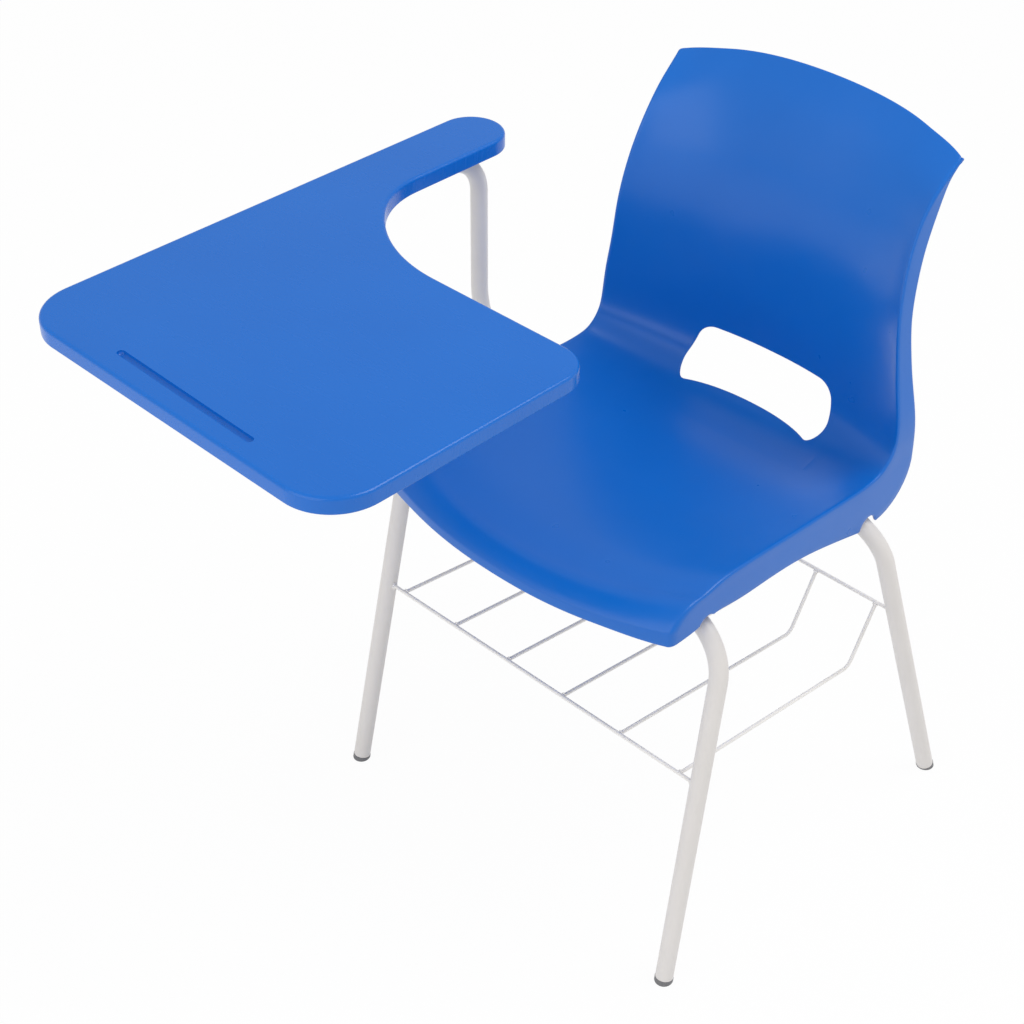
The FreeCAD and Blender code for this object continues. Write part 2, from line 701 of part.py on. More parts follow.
def tablet_outline(inset):
    """Closed wire round the tablet, inset all round, at the height of its lower edge."""
    z = TABLET_LOW_Z
    left = TABLET_OUTER_X + FRONT_CORNER_R
    right = TABLET_INNER_X - FRONT_CORNER_R
    front = TABLET_FRONT_Y + FRONT_CORNER_R
    rear_corner = V(TABLET_INNER_X - REAR_CORNER_R, TABLET_REAR_Y - REAR_CORNER_R, z)
    tip = ELBOW_WIDTH / 2
    gentle = ((COVE_X - COVE_R) ** 2 + COVE_Y ** 2 - COVE_R ** 2) / (2 * (COVE_Y - COVE_R))
    elbow_x = TABLET_OUTER_X + ELBOW_WIDTH
    gentle_middle = V(elbow_x + COVE_X, TABLET_REAR_Y + gentle, z)
    tight_middle = V(elbow_x + COVE_R, TABLET_REAR_Y + COVE_Y, z)
    way = tight_middle - gentle_middle
    join = 180 + math.degrees(math.atan2(-way.y, -way.x))
    arcs = [
        turn(V(left, front, z), FRONT_CORNER_R - inset, 180, 270),
        turn(V(right, front, z), FRONT_CORNER_R - inset, 270, 360),
        turn(rear_corner, REAR_CORNER_R - inset, 0, 90),
        turn(gentle_middle, gentle + inset, 270, join),
        turn(tight_middle, COVE_R + inset, join, 180),
        turn(V(ARM_X, ELBOW_END_Y - tip, z), tip - inset, 0, 180),
    ]
    edges = []
    for edge, following in zip(arcs, arcs[1:] + arcs[:1]):
        edges.append(edge)
        end = edge.Vertexes[-1].Point
        start = following.Vertexes[0].Point
        if end.distanceToPoint(start) > FIT_GAP:
            edges.append(line(end, start))
    return Part.Wire(edges)


def tablet_block(inset, low, high):
    """All inside the tablet's outline between two heights above its lower edge."""
    face = Part.Face(tablet_outline(inset)).translated(V(0, 0, low))
    return face.extrude(V(0, 0, high - low))


def groove_form(radius):
    """Round bar with round ends, placed along the pen groove."""
    z = TABLET_TOP_Z - GROOVE_DEPTH + GROOVE_WIDTH / 2
    y = TABLET_FRONT_Y + GROOVE_INSET_Y
    start = V(TABLET_OUTER_X + GROOVE_INSET_X + GROOVE_WIDTH / 2, y, z)
    end = start + V(GROOVE_LENGTH - GROOVE_WIDTH, 0, 0)
    ends = [Part.makeSphere(radius, start), Part.makeSphere(radius, end)]
    return rod(start, end, 2 * radius).fuse(ends)


def tablet_ribs():
    """Grid of ribs under the tablet's top."""
    low = TABLET_LOW_Z + TABLET_RIB_RISE
    rise = TABLET_T
    bars = []
    for i in range(1, int(TABLET_WIDTH / TABLET_RIB_PITCH) + 1):
        x = TABLET_OUTER_X + i * TABLET_RIB_PITCH
        length = ELBOW_END_Y - TABLET_FRONT_Y
        bars.append(Part.makeBox(TABLET_RIB_T, length, rise, V(x, TABLET_FRONT_Y, low)))
    for i in range(1, int((ELBOW_END_Y - TABLET_FRONT_Y) / TABLET_RIB_PITCH) + 1):
        y = TABLET_FRONT_Y + i * TABLET_RIB_PITCH
        bars.append(Part.makeBox(TABLET_WIDTH, TABLET_RIB_T, rise, V(TABLET_OUTER_X, y, low)))
    inside = TABLET_WALL * INSIDE_WALL_share
    return bars[0].fuse(bars[1:]).common(tablet_block(inside, 0, TABLET_T - inside))


def tablet_board():
    """The moulded writing surface with its skirt, ribs, bosses and pen groove."""
    board = tablet_block(0, 0, TABLET_T)
    top = [edge for edge in board.Edges if edge.BoundBox.ZMin > TABLET_TOP_Z - TOP_EDGE_R]
    board = board.makeFillet(TOP_EDGE_R, top)
    low = [edge for edge in board.Edges if edge.BoundBox.ZMax < TABLET_LOW_Z + LOW_EDGE_R]
    board = board.makeFillet(LOW_EDGE_R, low)
    board = board.cut(tablet_block(TABLET_WALL, -OVERRUN, TABLET_T - TABLET_WALL))
    inside = TABLET_WALL * INSIDE_WALL_share
    trough = groove_form(GROOVE_WIDTH / 2 + TABLET_WALL).common(tablet_block(inside, 0, TABLET_T - inside))
    bosses = []
    bores = []
    for bracket in BRACKETS.values():
        bosses += bracket.bosses()
        bores += bracket.bores()
    board = board.fuse(tablet_ribs()).fuse(trough).fuse(bosses)
    return board.cut(groove_form(GROOVE_WIDTH / 2)).cut(bores)


# Every piece, by name

pieces = {
    "seat_shell": seat_shell(),
    "front_leg_frame": FRONT_FRAME.tube(),
    "rear_leg_frame": REAR_FRAME.tube(),
    "seat_rail_left": seat_rail(1),
    "seat_rail_right": seat_rail(-1),
    "foot_plug_front_left": FRONT_FRAME.foot_plug(1),
    "foot_plug_front_right": FRONT_FRAME.foot_plug(-1),
    "foot_plug_rear_left": REAR_FRAME.foot_plug(1),
    "foot_plug_rear_right": REAR_FRAME.foot_plug(-1),
    "rack_front_wire": rack_cross_wire(RACK_FRONT, FRONT_FRAME),
    "rack_rear_wire": rack_cross_wire(RACK_REAR, REAR_FRAME),
    "arm_tube": arm_tube(),
    "arm_tube_cap_seat": tube_cap(ARM_LOW_END),
    "arm_tube_cap_tablet": tube_cap(ARM_HIGH_END),
    "tablet_board": tablet_board(),
    "seat_screws": Part.makeCompound(FRONT_FRAME.screws() + REAR_FRAME.screws()),
}
for number, place in enumerate(rack_wire_places(), start=1):
    pieces["rack_wire_" + str(number)] = rack_long_wire(place)
tablet_screws = []
for name, bracket in BRACKETS.items():
    pieces[name] = bracket.strip()
    tablet_screws += bracket.screws()
pieces["tablet_screws"] = Part.makeCompound(tablet_screws)

box = Part.makeCompound(list(pieces.values())).optimalBoundingBox(False, False)
shift = V(-(box.XMin + box.XMax) / 2, -(box.YMin + box.YMax) / 2, -box.ZMin)
os.makedirs("parts", exist_ok=True)
for name, shape in pieces.items():
    shape.translated(shift).exportStep("parts/" + name + ".step")
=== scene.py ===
"""School chair with a writing tablet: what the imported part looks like.

Sizes are millimetres from the chair's middle plane (x = 0) and the floor (z = 0);
place() turns them into the frame's metres.
"""
import bpy
import bmesh
import math
import numpy as np
from mathutils import Matrix, Vector


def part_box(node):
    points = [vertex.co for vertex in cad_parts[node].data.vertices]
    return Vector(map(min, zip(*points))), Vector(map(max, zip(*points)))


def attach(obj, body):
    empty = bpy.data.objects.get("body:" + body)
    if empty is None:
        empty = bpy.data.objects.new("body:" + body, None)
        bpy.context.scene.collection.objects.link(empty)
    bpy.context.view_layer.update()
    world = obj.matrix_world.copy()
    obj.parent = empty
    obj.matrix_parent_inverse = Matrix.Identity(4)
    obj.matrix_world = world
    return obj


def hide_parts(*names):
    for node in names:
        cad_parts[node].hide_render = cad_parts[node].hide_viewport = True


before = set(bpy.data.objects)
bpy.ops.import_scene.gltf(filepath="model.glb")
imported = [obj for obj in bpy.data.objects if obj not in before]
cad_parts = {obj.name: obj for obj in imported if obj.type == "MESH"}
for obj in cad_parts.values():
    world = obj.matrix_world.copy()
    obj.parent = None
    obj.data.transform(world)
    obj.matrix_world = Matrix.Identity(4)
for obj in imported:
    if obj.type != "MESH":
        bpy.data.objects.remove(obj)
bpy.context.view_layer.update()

MM = 0.001
TABLET_FRONT_Y = -512.0
SHIFT = Vector((
    (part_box("front_leg_frame")[0][0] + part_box("front_leg_frame")[1][0]) / 2,
    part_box("tablet_board")[0][1] - TABLET_FRONT_Y * MM,
    0,
))


def place(x, y, z):
    """A place on the chair, in the frame's metres."""
    return Vector((x, y, z)) * MM + SHIFT


def put_in_scene(name, data):
    """A new object of a mesh, camera or lamp."""
    made = bpy.data.objects.new(name, data)
    bpy.context.scene.collection.objects.link(made)
    return made


# Camera, where the photograph was taken from

AZIMUTH, ELEVATION, ROLL = 44.2, 37.3, 0.4
EYE = (1033.67, -1280.42, 1609.47)
FOCAL_PIXELS, PICTURE_PIXELS, SENSOR_MM = 1944.6, 1024, 36

az, el, roll = (math.radians(angle) for angle in (AZIMUTH, ELEVATION, ROLL))
back = Vector((math.sin(az) * math.cos(el), -math.cos(az) * math.cos(el), math.sin(el)))
level = Vector((math.cos(az), math.sin(az), 0))
upright = back.cross(level)
right = math.cos(roll) * level + math.sin(roll) * upright
up = math.cos(roll) * upright - math.sin(roll) * level
camera_data = bpy.data.cameras.new("camera")
camera_data.sensor_fit = "HORIZONTAL"
camera_data.sensor_width = SENSOR_MM
camera_data.lens = SENSOR_MM * FOCAL_PIXELS / PICTURE_PIXELS
camera = put_in_scene("camera", camera_data)
looking = Matrix((right, up, back)).transposed().to_4x4()
camera.matrix_world = Matrix.Translation(place(*EYE)) @ looking
bpy.context.scene.camera = camera
bpy.context.scene.view_settings.view_transform = "Standard"


# Ways of making a mesh

ONE_POINT = 0.000005    # metres within which two corners become one
BEND_STEP = 5           # degrees of a bend to one ring of its mesh


def pick_up(piece):
    if bpy.context.object and bpy.context.object.mode != "OBJECT":
        bpy.ops.object.mode_set(mode="OBJECT")
    bpy.ops.object.select_all(action="DESELECT")
    if piece:
        bpy.context.view_layer.objects.active = piece
        piece.select_set(True)


def open_mesh():
    """Edit mode on the active piece, its place in its mesh and all of it selected."""
    bpy.ops.object.transform_apply(location=True, rotation=True, scale=True)
    bpy.ops.object.mode_set(mode="EDIT")
    bpy.ops.mesh.select_all(action="SELECT")


def settle(piece, name, smooth=35):
    """Names a finished piece, puts its place into its mesh and smooths what isn't an edge."""
    pick_up(piece)
    open_mesh()
    bpy.ops.mesh.remove_doubles(threshold=ONE_POINT)
    bpy.ops.mesh.normals_make_consistent(inside=False)
    bpy.ops.object.mode_set(mode="OBJECT")
    bpy.ops.object.shade_smooth_by_angle(angle=math.radians(smooth))
    piece.name = name
    piece.data.name = name
    piece.select_set(False)
    return piece


def joined(pieces, name, smooth=35):
    """Several finished meshes as one piece."""
    pick_up(pieces[0])
    for piece in pieces:
        piece.select_set(True)
    bpy.ops.object.join()
    return settle(bpy.context.object, name, smooth)


def draw_out(way):
    """Extrudes what is selected along a way."""
    bpy.ops.mesh.extrude_region_move(TRANSFORM_OT_translate={"value": way})


def bent_bar(name, points, bends, radius, sides=40):
    """A round bar: a circle is drawn out along each straight run and spun round each bend."""
    points = [place(*point) for point in points]
    facing = (points[1] - points[0]).normalized().to_track_quat("Z", "Y").to_euler()
    pick_up(None)
    bpy.ops.mesh.primitive_circle_add(vertices=sides, radius=radius * MM, location=points[0], rotation=facing)
    bar = bpy.context.object
    open_mesh()
    here = points[0]
    for before, corner, after, bend in zip(points, points[1:], points[2:], bends):
        way_in = (corner - before).normalized()
        way_out = (after - corner).normalized()
        turn = way_in.angle(way_out)
        reach = bend * MM * math.tan(turn / 2)
        first = corner - way_in * reach
        if (first - here).length > MM / 10:
            draw_out(first - here)
        middle = first + (way_out - way_in * way_in.dot(way_out)).normalized() * bend * MM
        steps = max(6, round(math.degrees(turn) / BEND_STEP))
        bpy.ops.mesh.spin(steps=steps, angle=-turn, center=middle, axis=way_in.cross(way_out))
        here = corner + way_out * reach
    draw_out(points[-1] - here)
    bpy.ops.mesh.select_all(action="SELECT")
    bpy.ops.mesh.fill_holes(sides=0)
    return settle(bar, name)


def from_points(name, places, faces, smooth=35):
    """A mesh of points in chair millimetres, for a form that follows a formula."""
    mesh = bpy.data.meshes.new(name)
    mesh.from_pydata([place(*point) for point in places], [], faces)
    return settle(put_in_scene(name, mesh), name, smooth)


def band(one, two):
    """Faces between two closed rings of point numbers."""
    after = list(range(1, len(one))) + [0]
    return [(one[i], one[k], two[k], two[i]) for i, k in enumerate(after)]


def quads(rows, columns, rows_close=False, columns_close=True):
    """Faces of a grid whose points come row by row; each way it may close into a ring."""
    faces = []
    for row in range(rows if rows_close else rows - 1):
        near, far = row * columns, (row + 1) % rows * columns
        for column in range(columns if columns_close else columns - 1):
            after = (column + 1) % columns
            faces.append((near + column, near + after, far + after, far + column))
    return faces


def spokes(way, count):
    """Directions square to an axis, evenly round it, each with its angle."""
    first = way.orthogonal().normalized()
    second = way.cross(first)
    angles = [2 * math.pi * i / count for i in range(count)]
    return [(first * math.cos(angle) + second * math.sin(angle), angle) for angle in angles]


def turned(name, profile, start, way, sides=48):
    """A round piece: (radius, distance) pairs along an axis that begins at start."""
    start, way = Vector(start), Vector(way).normalized()
    points = [start + way * reach + out * radius for radius, reach in profile for out, _ in spokes(way, sides)]
    faces = quads(len(profile), sides)
    for row in (0, len(profile) - 1):
        if profile[row][0] > 0:
            faces.append([row * sides + i for i in range(sides)])
    return from_points(name, points, faces)


# Seat shell: its form

SHELL_T = 4.0
SEAT_HALF = 200.0
RIM_Z, RIM_WAVE, TOP_Z, TOP_ARCH = 457.0, 11.0, 765.0, 24.0
SEAT_FRONT_Y, BACK_Y = -211.0, 127.0
LIP_Z, LIP_SAG, LIP_DROOP, FRONT_BOW = 429.0, 9.0, 3.5, 34.0
DROOP_X = (120, 200)    # the lip droops over this stretch, out to its corner
FALL_RIM_R, FALL_MIDDLE_R = 50.0, 34.0     # the waterfall front
LIP_R, LIP_TURN = 5.0, math.radians(38)    # its short turn down into the lip
RIM_BEND_R, CENTRE_BEND_R = 35.0, 52.0
BEND_TOP_Z = RIM_Z + RIM_BEND_R
LEAN_Z, LEAN_R = 605.0, 220.0
FRONT_DISH, REAR_DISH, BACK_DISH, TOP_DISH = 18.0, 35.0, 50.0, 33.0
DISH_POWER, TOP_POWER, ARCH_POWER = 2.2, 4.4, 2.0
TOP_FLARE, FLARE_UP, FLARE_OUT = 15.0, (0.84, 1), (0.7, 1.12)    # the top corners run back into the flange
RIM_WAVE_SHARES = ((0, 0), (0.22, 0.12), (0.44, 0.46), (0.64, 0.8), (0.78, 1), (0.9, 0.95), (1, 0.6))
BEND_SHARES = (0.25, 0.5, 0.75, 1)
BACK_SHARES = (0.14, 0.3, 0.46, 0.62, 0.78, 0.9, 1)
OUTLINE_SHARES = ((0, 1), (0.13, 1.0), (0.32, 0.958), (0.51, 0.919), (0.7, 0.887), (0.88, 0.87), (1, 0.88))

# Lengthwise places on the shell: the lip runs from 0 to LIP_END, its turn and the fall end at
# FOLD_END, and from there each knot of seat, bend and back is one further.
LIP_END, LIP_SHARE, FOLD_END = 1.0, 0.3, 2.0
BEND_START = FOLD_END + len(RIM_WAVE_SHARES) - 1
BEND_END = BEND_START + len(BEND_SHARES)
TOP_END = BEND_END + len(BACK_SHARES)


def between(low, high, share):
    """low at share 0, high at share 1."""
    return low + (high - low) * share


def smooth_step(first, last, value):
    """0 up to first, 1 from last on."""
    share = np.clip((value - first) / (last - first), 0, 1)
    return share * share * (3 - 2 * share)


def smooth_curve(knots, values, first=None, last=None):
    """A cubic curve through values at knots, with a slope at each end where one is given."""
    knots, values = np.asarray(knots, float), np.asarray(values, float)
    n = len(knots)
    gaps = np.diff(knots)
    slopes = np.diff(values) / gaps
    system = np.zeros((n, n))
    goal = np.zeros(n)
    for i in range(1, n - 1):
        system[i, i - 1:i + 2] = gaps[i], 2 * (gaps[i - 1] + gaps[i]), gaps[i - 1]
        goal[i] = 3 * (gaps[i] * slopes[i - 1] + gaps[i - 1] * slopes[i])
    for end, inner, slope, given in ((0, 1, slopes[0], first), (n - 1, n - 2, slopes[-1], last)):
        system[end, end], system[end, inner], goal[end] = (2, 1, 3 * slope) if given is None else (1, 0, given)
    steep = np.linalg.solve(system, goal)

    def at(where):
        i = np.clip(np.searchsorted(knots, where, side="right") - 1, 0, n - 2)
        t = (where - knots[i]) / gaps[i]
        rise = values[i + 1] - values[i]
        a = steep[i] * gaps[i] - rise
        b = rise - steep[i + 1] * gaps[i]
        return values[i] + t * rise + t * (1 - t) * (a * (1 - t) + b * t)

    return at


outline_up, outline_wide = np.array(OUTLINE_SHARES).T
half_curve = smooth_curve(between(RIM_Z, TOP_Z, outline_up), SEAT_HALF * outline_wide)


def half_width(z):
    """Half the shell's width where its rim has those heights."""
    return np.where(z <= RIM_Z, SEAT_HALF, half_curve(np.minimum(z, TOP_Z + TOP_ARCH)))


def dish(x, half, power=DISH_POWER):
    """1 on the middle plane, 0 at the rim, and on in a straight line beyond it."""
    out = abs(x / half)
    return 1 - out ** power if out < 1 else power * (1 - out)


def lean(z):
    """Depth of the back's rim at that height: upright, then leaning away."""
    rise = max(z - LEAN_Z, 0)
    return BACK_Y + LEAN_R - math.sqrt(LEAN_R ** 2 - rise ** 2)


class Section:
    """One lengthwise section of the shell's front face at width x: t runs from the front lip, 0, up."""

    def __init__(self, x):
        deep = dish(x, SEAT_HALF)
        bend = between(RIM_BEND_R, CENTRE_BEND_R, deep)
        rear = BACK_Y + BACK_DISH * deep - bend
        self.lip_y = SEAT_FRONT_Y - FRONT_BOW * deep
        self.lip_z = LIP_Z - LIP_SAG * deep - LIP_DROOP * smooth_step(*DROOP_X, abs(x))
        self.fall = between(FALL_RIM_R, FALL_MIDDLE_R, deep)
        fold_y = self.lip_y + LIP_R * (1 - math.cos(LIP_TURN)) + self.fall * math.cos(LIP_TURN)
        points = []
        for share, wave in reversed(RIM_WAVE_SHARES):
            z = RIM_Z + RIM_WAVE * wave - between(REAR_DISH, FRONT_DISH, share) * deep
            points.append((between(rear, fold_y, share), z))
        middle = points[-1][1] + bend
        for share in BEND_SHARES:
            turn = math.radians(90 * share)
            points.append((rear + bend * math.sin(turn), middle - bend * math.cos(turn)))
        top = TOP_Z + TOP_ARCH * dish(x, half_width(TOP_Z), ARCH_POWER)
        for share in BACK_SHARES:
            rim_z = between(BEND_TOP_Z, TOP_Z, share)
            deep = dish(x, half_width(rim_z), between(DISH_POWER, TOP_POWER, share))
            flare = TOP_FLARE * smooth_step(*FLARE_UP, share) * smooth_step(*FLARE_OUT, abs(x) / half_width(rim_z))
            y = lean(rim_z) + between(BACK_DISH, TOP_DISH, share) * deep + flare
            points.append((y, between(middle, top, share)))
        points = np.array(points)
        steps = np.diff(points, axis=0)
        lengths = np.hypot(steps[:, 0], steps[:, 1])
        self.knots = np.concatenate([[0], np.cumsum(lengths)])
        end = steps[-1] / lengths[-1]
        self.y_at = smooth_curve(self.knots, points[:, 0], 1.0, end[0])
        self.z_at = smooth_curve(self.knots, points[:, 1], 0.0, end[1])
        self.fold_low = points[0][1] - LIP_R * math.sin(LIP_TURN) - self.fall * (1 - math.sin(LIP_TURN))
        self.numbers = np.arange(len(points))

    def at(self, t):
        """Places (y, z) at the values t."""
        lip = np.clip(t, 0, LIP_END) / LIP_END
        tight = LIP_TURN * np.clip((t - LIP_END) / LIP_SHARE, 0, 1)
        fallen = np.clip((t - LIP_END - LIP_SHARE) / (1 - LIP_SHARE), 0, 1)
        wide = LIP_TURN + (math.pi / 2 - LIP_TURN) * fallen
        y = self.lip_y + LIP_R * (1 - np.cos(tight)) + self.fall * (math.cos(LIP_TURN) - np.cos(wide))
        z = between(self.lip_z, self.fold_low, lip) + LIP_R * np.sin(tight)
        z = z + self.fall * (np.sin(wide) - math.sin(LIP_TURN))
        along = np.interp(np.clip(t - FOLD_END, 0, None), self.numbers, self.knots)
        far = t > FOLD_END
        y[far] = self.y_at(along[far])
        z[far] = self.z_at(along[far])
        return y, z


class Shell:
    """The shell's front face as a smooth sheet over width x and lengthwise place t."""

    def __init__(self):
        self.xs = np.linspace(0, SEAT_HALF + 6, 43)
        self.ts = np.linspace(0, TOP_END, 951)
        places = [Section(x).at(self.ts) for x in self.xs]
        self.ys = np.array([y for y, z in places])
        self.zs = np.array([z for y, z in places])

    def read(self, table, x, t):
        """A table's values at widths x and places t, between its own."""
        x, t = np.broadcast_arrays(np.abs(x), np.clip(t, 0, TOP_END))
        col = np.clip(x / self.xs[1], 0, len(self.xs) - 1.001)
        row = np.clip(t / self.ts[1], 0, len(self.ts) - 1.001)
        i, j = col.astype(int), row.astype(int)
        u, v = col - i, row - j
        low = table[i, j] * (1 - u) + table[i + 1, j] * u
        high = table[i, j + 1] * (1 - u) + table[i + 1, j + 1] * u
        return low * (1 - v) + high * v

    def at(self, x, t):
        """Points, as an array whose last axis is x, y, z."""
        x, t = np.broadcast_arrays(x, t)
        return np.stack([x, self.read(self.ys, x, t), self.read(self.zs, x, t)], axis=-1)

    def square_to(self, x, t):
        """Directions square to the sheet, towards the sitter."""
        across = self.at(x + 1, t) - self.at(x - 1, t)
        return unit(np.cross(across, self.at(x, t + 0.04) - self.at(x, t - 0.04)))

    def rim_x(self, t):
        """Half the width at the rim."""
        x = np.full(np.shape(t), SEAT_HALF)
        for _ in range(6):
            x = half_width(self.read(self.zs, x, t))
        return x

    def t_reaching(self, table, ts, x, goals):
        """Places among the ts where the table's values, at widths x, rise to the goals."""
        columns = (np.maximum.accumulate(self.read(table, wide, ts)) for wide in x)
        return np.array([np.interp(goal, column, ts) for goal, column in zip(goals, columns)])

    def t_at_depth(self, x, y):
        """Places t on the seat where the sheet at widths x reaches depths y."""
        return self.t_reaching(self.ys, np.linspace(0, BEND_END, 500), x, y)


def unit(v):
    """Each vector at length 1."""
    return v / np.maximum(np.linalg.norm(v, axis=-1, keepdims=True), 1e-9)


shell = Shell()
RIM_ROUND = 4.5         # how far the soft rim takes up dish and skirt
EDGE_R = 1.4            # on every free edge of the moulding
TOP_CORNER_R, FRONT_CORNER_R = 2.5, 4.0
CORNER_REACH = 60.0     # a rounded corner dies out over this length

# Skirt and flange, side view; a notch is its middle, its width and the height of its crown

SKIRT_DEPTH, FLANGE_DEPTH, HEEL_R, HEEL_OUT = 60.0, 27.0, 55.0, 5.0
NOTCHES = ((SEAT_FRONT_Y + 51, 28.0, 434.0), (BACK_Y - 30, 26.0, 411.0))
SKIRT_SHARES = ((0.1, 0.51), (0.187, 0.44), (0.26, 0.485), (0.4, 0.53), (0.57, 0.6), (0.72, 0.77), (0.86, 0.97))
FLANGE_SHARES = (
    (0.05, 1.15), (0.19, 0.99), (0.34, 0.88), (0.45, 0.86), (0.56, 0.93), (0.69, 1), (0.85, 0.95), (0.95, 0.65),
    (1, 0.62),
)
EDGE_LAG = 12.0         # mesh columns of the skirt slant back by this from rim to free edge
LIP_EDGE_Y = (SEAT_FRONT_Y + 14, SEAT_FRONT_Y + 17)    # ends of the lip and of its turn on the free edge


def run_lengths(points):
    """Distance of each point from the first, along the line."""
    return np.concatenate([[0], np.cumsum(np.linalg.norm(np.diff(points, axis=0), axis=1))])


def smooth_line(points):
    """Points closely spaced along a smooth curve through the given ones."""
    points = np.array(points, float)
    knots = run_lengths(points)
    where = np.linspace(0, knots[-1], int(knots[-1] * 2))
    return np.stack([smooth_curve(knots, points[:, i])(where) for i in (0, 1)], axis=1)


def lower_edge():
    """Side view of the free edge of skirt and flange, from the lip's corner to the top."""
    skirt = [(SEAT_FRONT_Y + RIM_ROUND + 5, LIP_Z - LIP_DROOP)]
    skirt += [(between(SEAT_FRONT_Y, BACK_Y, along), RIM_Z - SKIRT_DEPTH * down) for along, down in SKIRT_SHARES]
    heights = [(between(BEND_TOP_Z, TOP_Z, up), deep) for up, deep in FLANGE_SHARES]
    flange = [(lean(z) + FLANGE_DEPTH * deep, z) for z, deep in heights]
    heel_y = flange[0][0] + HEEL_OUT
    heel_z = skirt[-1][1] + HEEL_R
    skirt = smooth_line(skirt)
    low_y, low_z = skirt[-1]
    run = [(y, low_z) for y in np.linspace(low_y, heel_y - HEEL_R, 50)[1:]]
    skirt = np.concatenate([skirt, run])
    for middle, width, crown in NOTCHES:
        away = np.abs(skirt[:, 0] - middle)
        arch = crown - width / 2 + np.sqrt(np.maximum((width / 2) ** 2 - away ** 2, 0))
        skirt[:, 1] = np.where(away < width / 2, np.maximum(skirt[:, 1], arch), skirt[:, 1])
    heel = [
        (heel_y - HEEL_R * (1 - math.sin(turn)), heel_z - HEEL_R * math.cos(turn))
        for turn in np.radians(np.linspace(0, 90, 60))[1:]
    ]
    rear = smooth_line([(heel_y, heel_z)] + flange)
    edge = np.concatenate([skirt, heel, rear[1:]])
    return edge, len(skirt), len(skirt) + len(heel)


edge_line, heel_start, heel_end = lower_edge()
edge_along = run_lengths(edge_line)


def edge_places(ts):
    """How far along the free edge each lengthwise place t looks."""
    rim = shell.at(shell.rim_x(ts), ts)
    skirt_y, rear_z = edge_line[:heel_start, 0], edge_line[heel_end:, 1]
    rim_fold, rim_rear = SEAT_FRONT_Y + FALL_RIM_R * math.cos(LIP_TURN), BACK_Y - RIM_BEND_R
    goal_y = np.interp(rim[:, 1], (rim_fold, rim_rear), (rim_fold + EDGE_LAG, skirt_y[-1]))
    fold_y = np.interp(
        ts, (0, LIP_END, LIP_END + LIP_SHARE, FOLD_END), (skirt_y[0], *LIP_EDGE_Y, rim_fold + EDGE_LAG)
    )
    low = np.interp(np.where(ts < FOLD_END, fold_y, goal_y), skirt_y, edge_along[:heel_start])
    goal_z = np.interp(rim[:, 2], (BEND_TOP_Z, TOP_Z), (BEND_TOP_Z + EDGE_LAG, TOP_Z))
    high = np.interp(goal_z, rear_z, edge_along[heel_end:])
    last = np.interp(BEND_TOP_Z + EDGE_LAG, rear_z, edge_along[heel_end:])
    bend = np.interp(ts, (BEND_START, BEND_END), (edge_along[heel_start - 1], last))
    return np.where(ts <= BEND_START, low, np.where(ts >= BEND_END, high, bend))


# Rows of the shell's mesh over the lip, its turn, the fall and a notch, and their spacing elsewhere
LIP_ROWS, TURN_ROWS, FALL_ROWS, NOTCH_ROWS, ROW_PITCH = 4, 7, 10, 13, 4.6


def lengthwise_places():
    """The rows of the shell's mesh."""
    lip = np.linspace(0, LIP_END, LIP_ROWS)
    turn = np.linspace(LIP_END, LIP_END + LIP_SHARE, TURN_ROWS)
    fall = np.linspace(LIP_END + LIP_SHARE, FOLD_END, FALL_ROWS)
    section = Section(110.0)
    where = np.linspace(0, section.knots[-1], int(section.knots[-1] / ROW_PITCH))
    long = FOLD_END + np.interp(where, section.knots, section.numbers)
    rows = np.concatenate([lip, turn[1:-1], fall, long[1:]])
    fine = np.linspace(0, TOP_END, 4000)
    along = edge_places(fine)
    skirt = edge_line[:heel_start]
    slope = np.abs(np.gradient(skirt[:, 1]) / np.gradient(skirt[:, 0]))
    for middle, width, _ in NOTCHES:
        steep = [i for i in range(len(skirt)) if abs(skirt[i, 0] - middle) < width / 2 + 2 and slope[i] > 0.3]
        extra = np.interp(np.linspace(edge_along[steep[0]], edge_along[steep[-1]], NOTCH_ROWS), along, fine)
        near = (rows > extra[0] - 0.05) & (rows < extra[-1] + 0.05)
        rows = np.sort(np.concatenate([rows[~near], extra]))
    return rows


def softened(points):
    """Front and top corners rounded, as in a mould that is polished by hand."""
    x, y, z = points[..., 0], points[..., 1], points[..., 2]

    def drop(half, radius):
        into = np.clip(np.abs(x) - (half - radius), 0, radius)
        return radius - np.sqrt(np.maximum(radius ** 2 - into ** 2, 0))

    top = drop(SEAT_HALF * outline_wide[-1], TOP_CORNER_R) * smooth_step(CORNER_REACH, 0, TOP_Z + 5 - z)
    front = drop(SEAT_HALF, FRONT_CORNER_R) * smooth_step(CORNER_REACH, 0, y - SEAT_FRONT_Y) * (z < TOP_Z - 200)
    return np.stack([x, y + front, z - top], axis=-1)


# Hand slot, drawn in front view: each corner's x, height and radius

SLOT_CORNERS = ((-102.0, 430.0, 15.0), (102.0, 430.0, 15.0), (86.0, 484.0, 22.0), (-86.0, 484.0, 22.0))
CORNER_WEIGHT = 2.6     # points stand this much closer round a corner
SLOT_RINGS, RING_POWER = 7, 0.85
# The box of mesh rows and columns that gives way to rings round the slot
HOLE_HALF, HOLE_START, HOLE_TOP_Z = 116.0, BEND_START - 0.45, 499.0


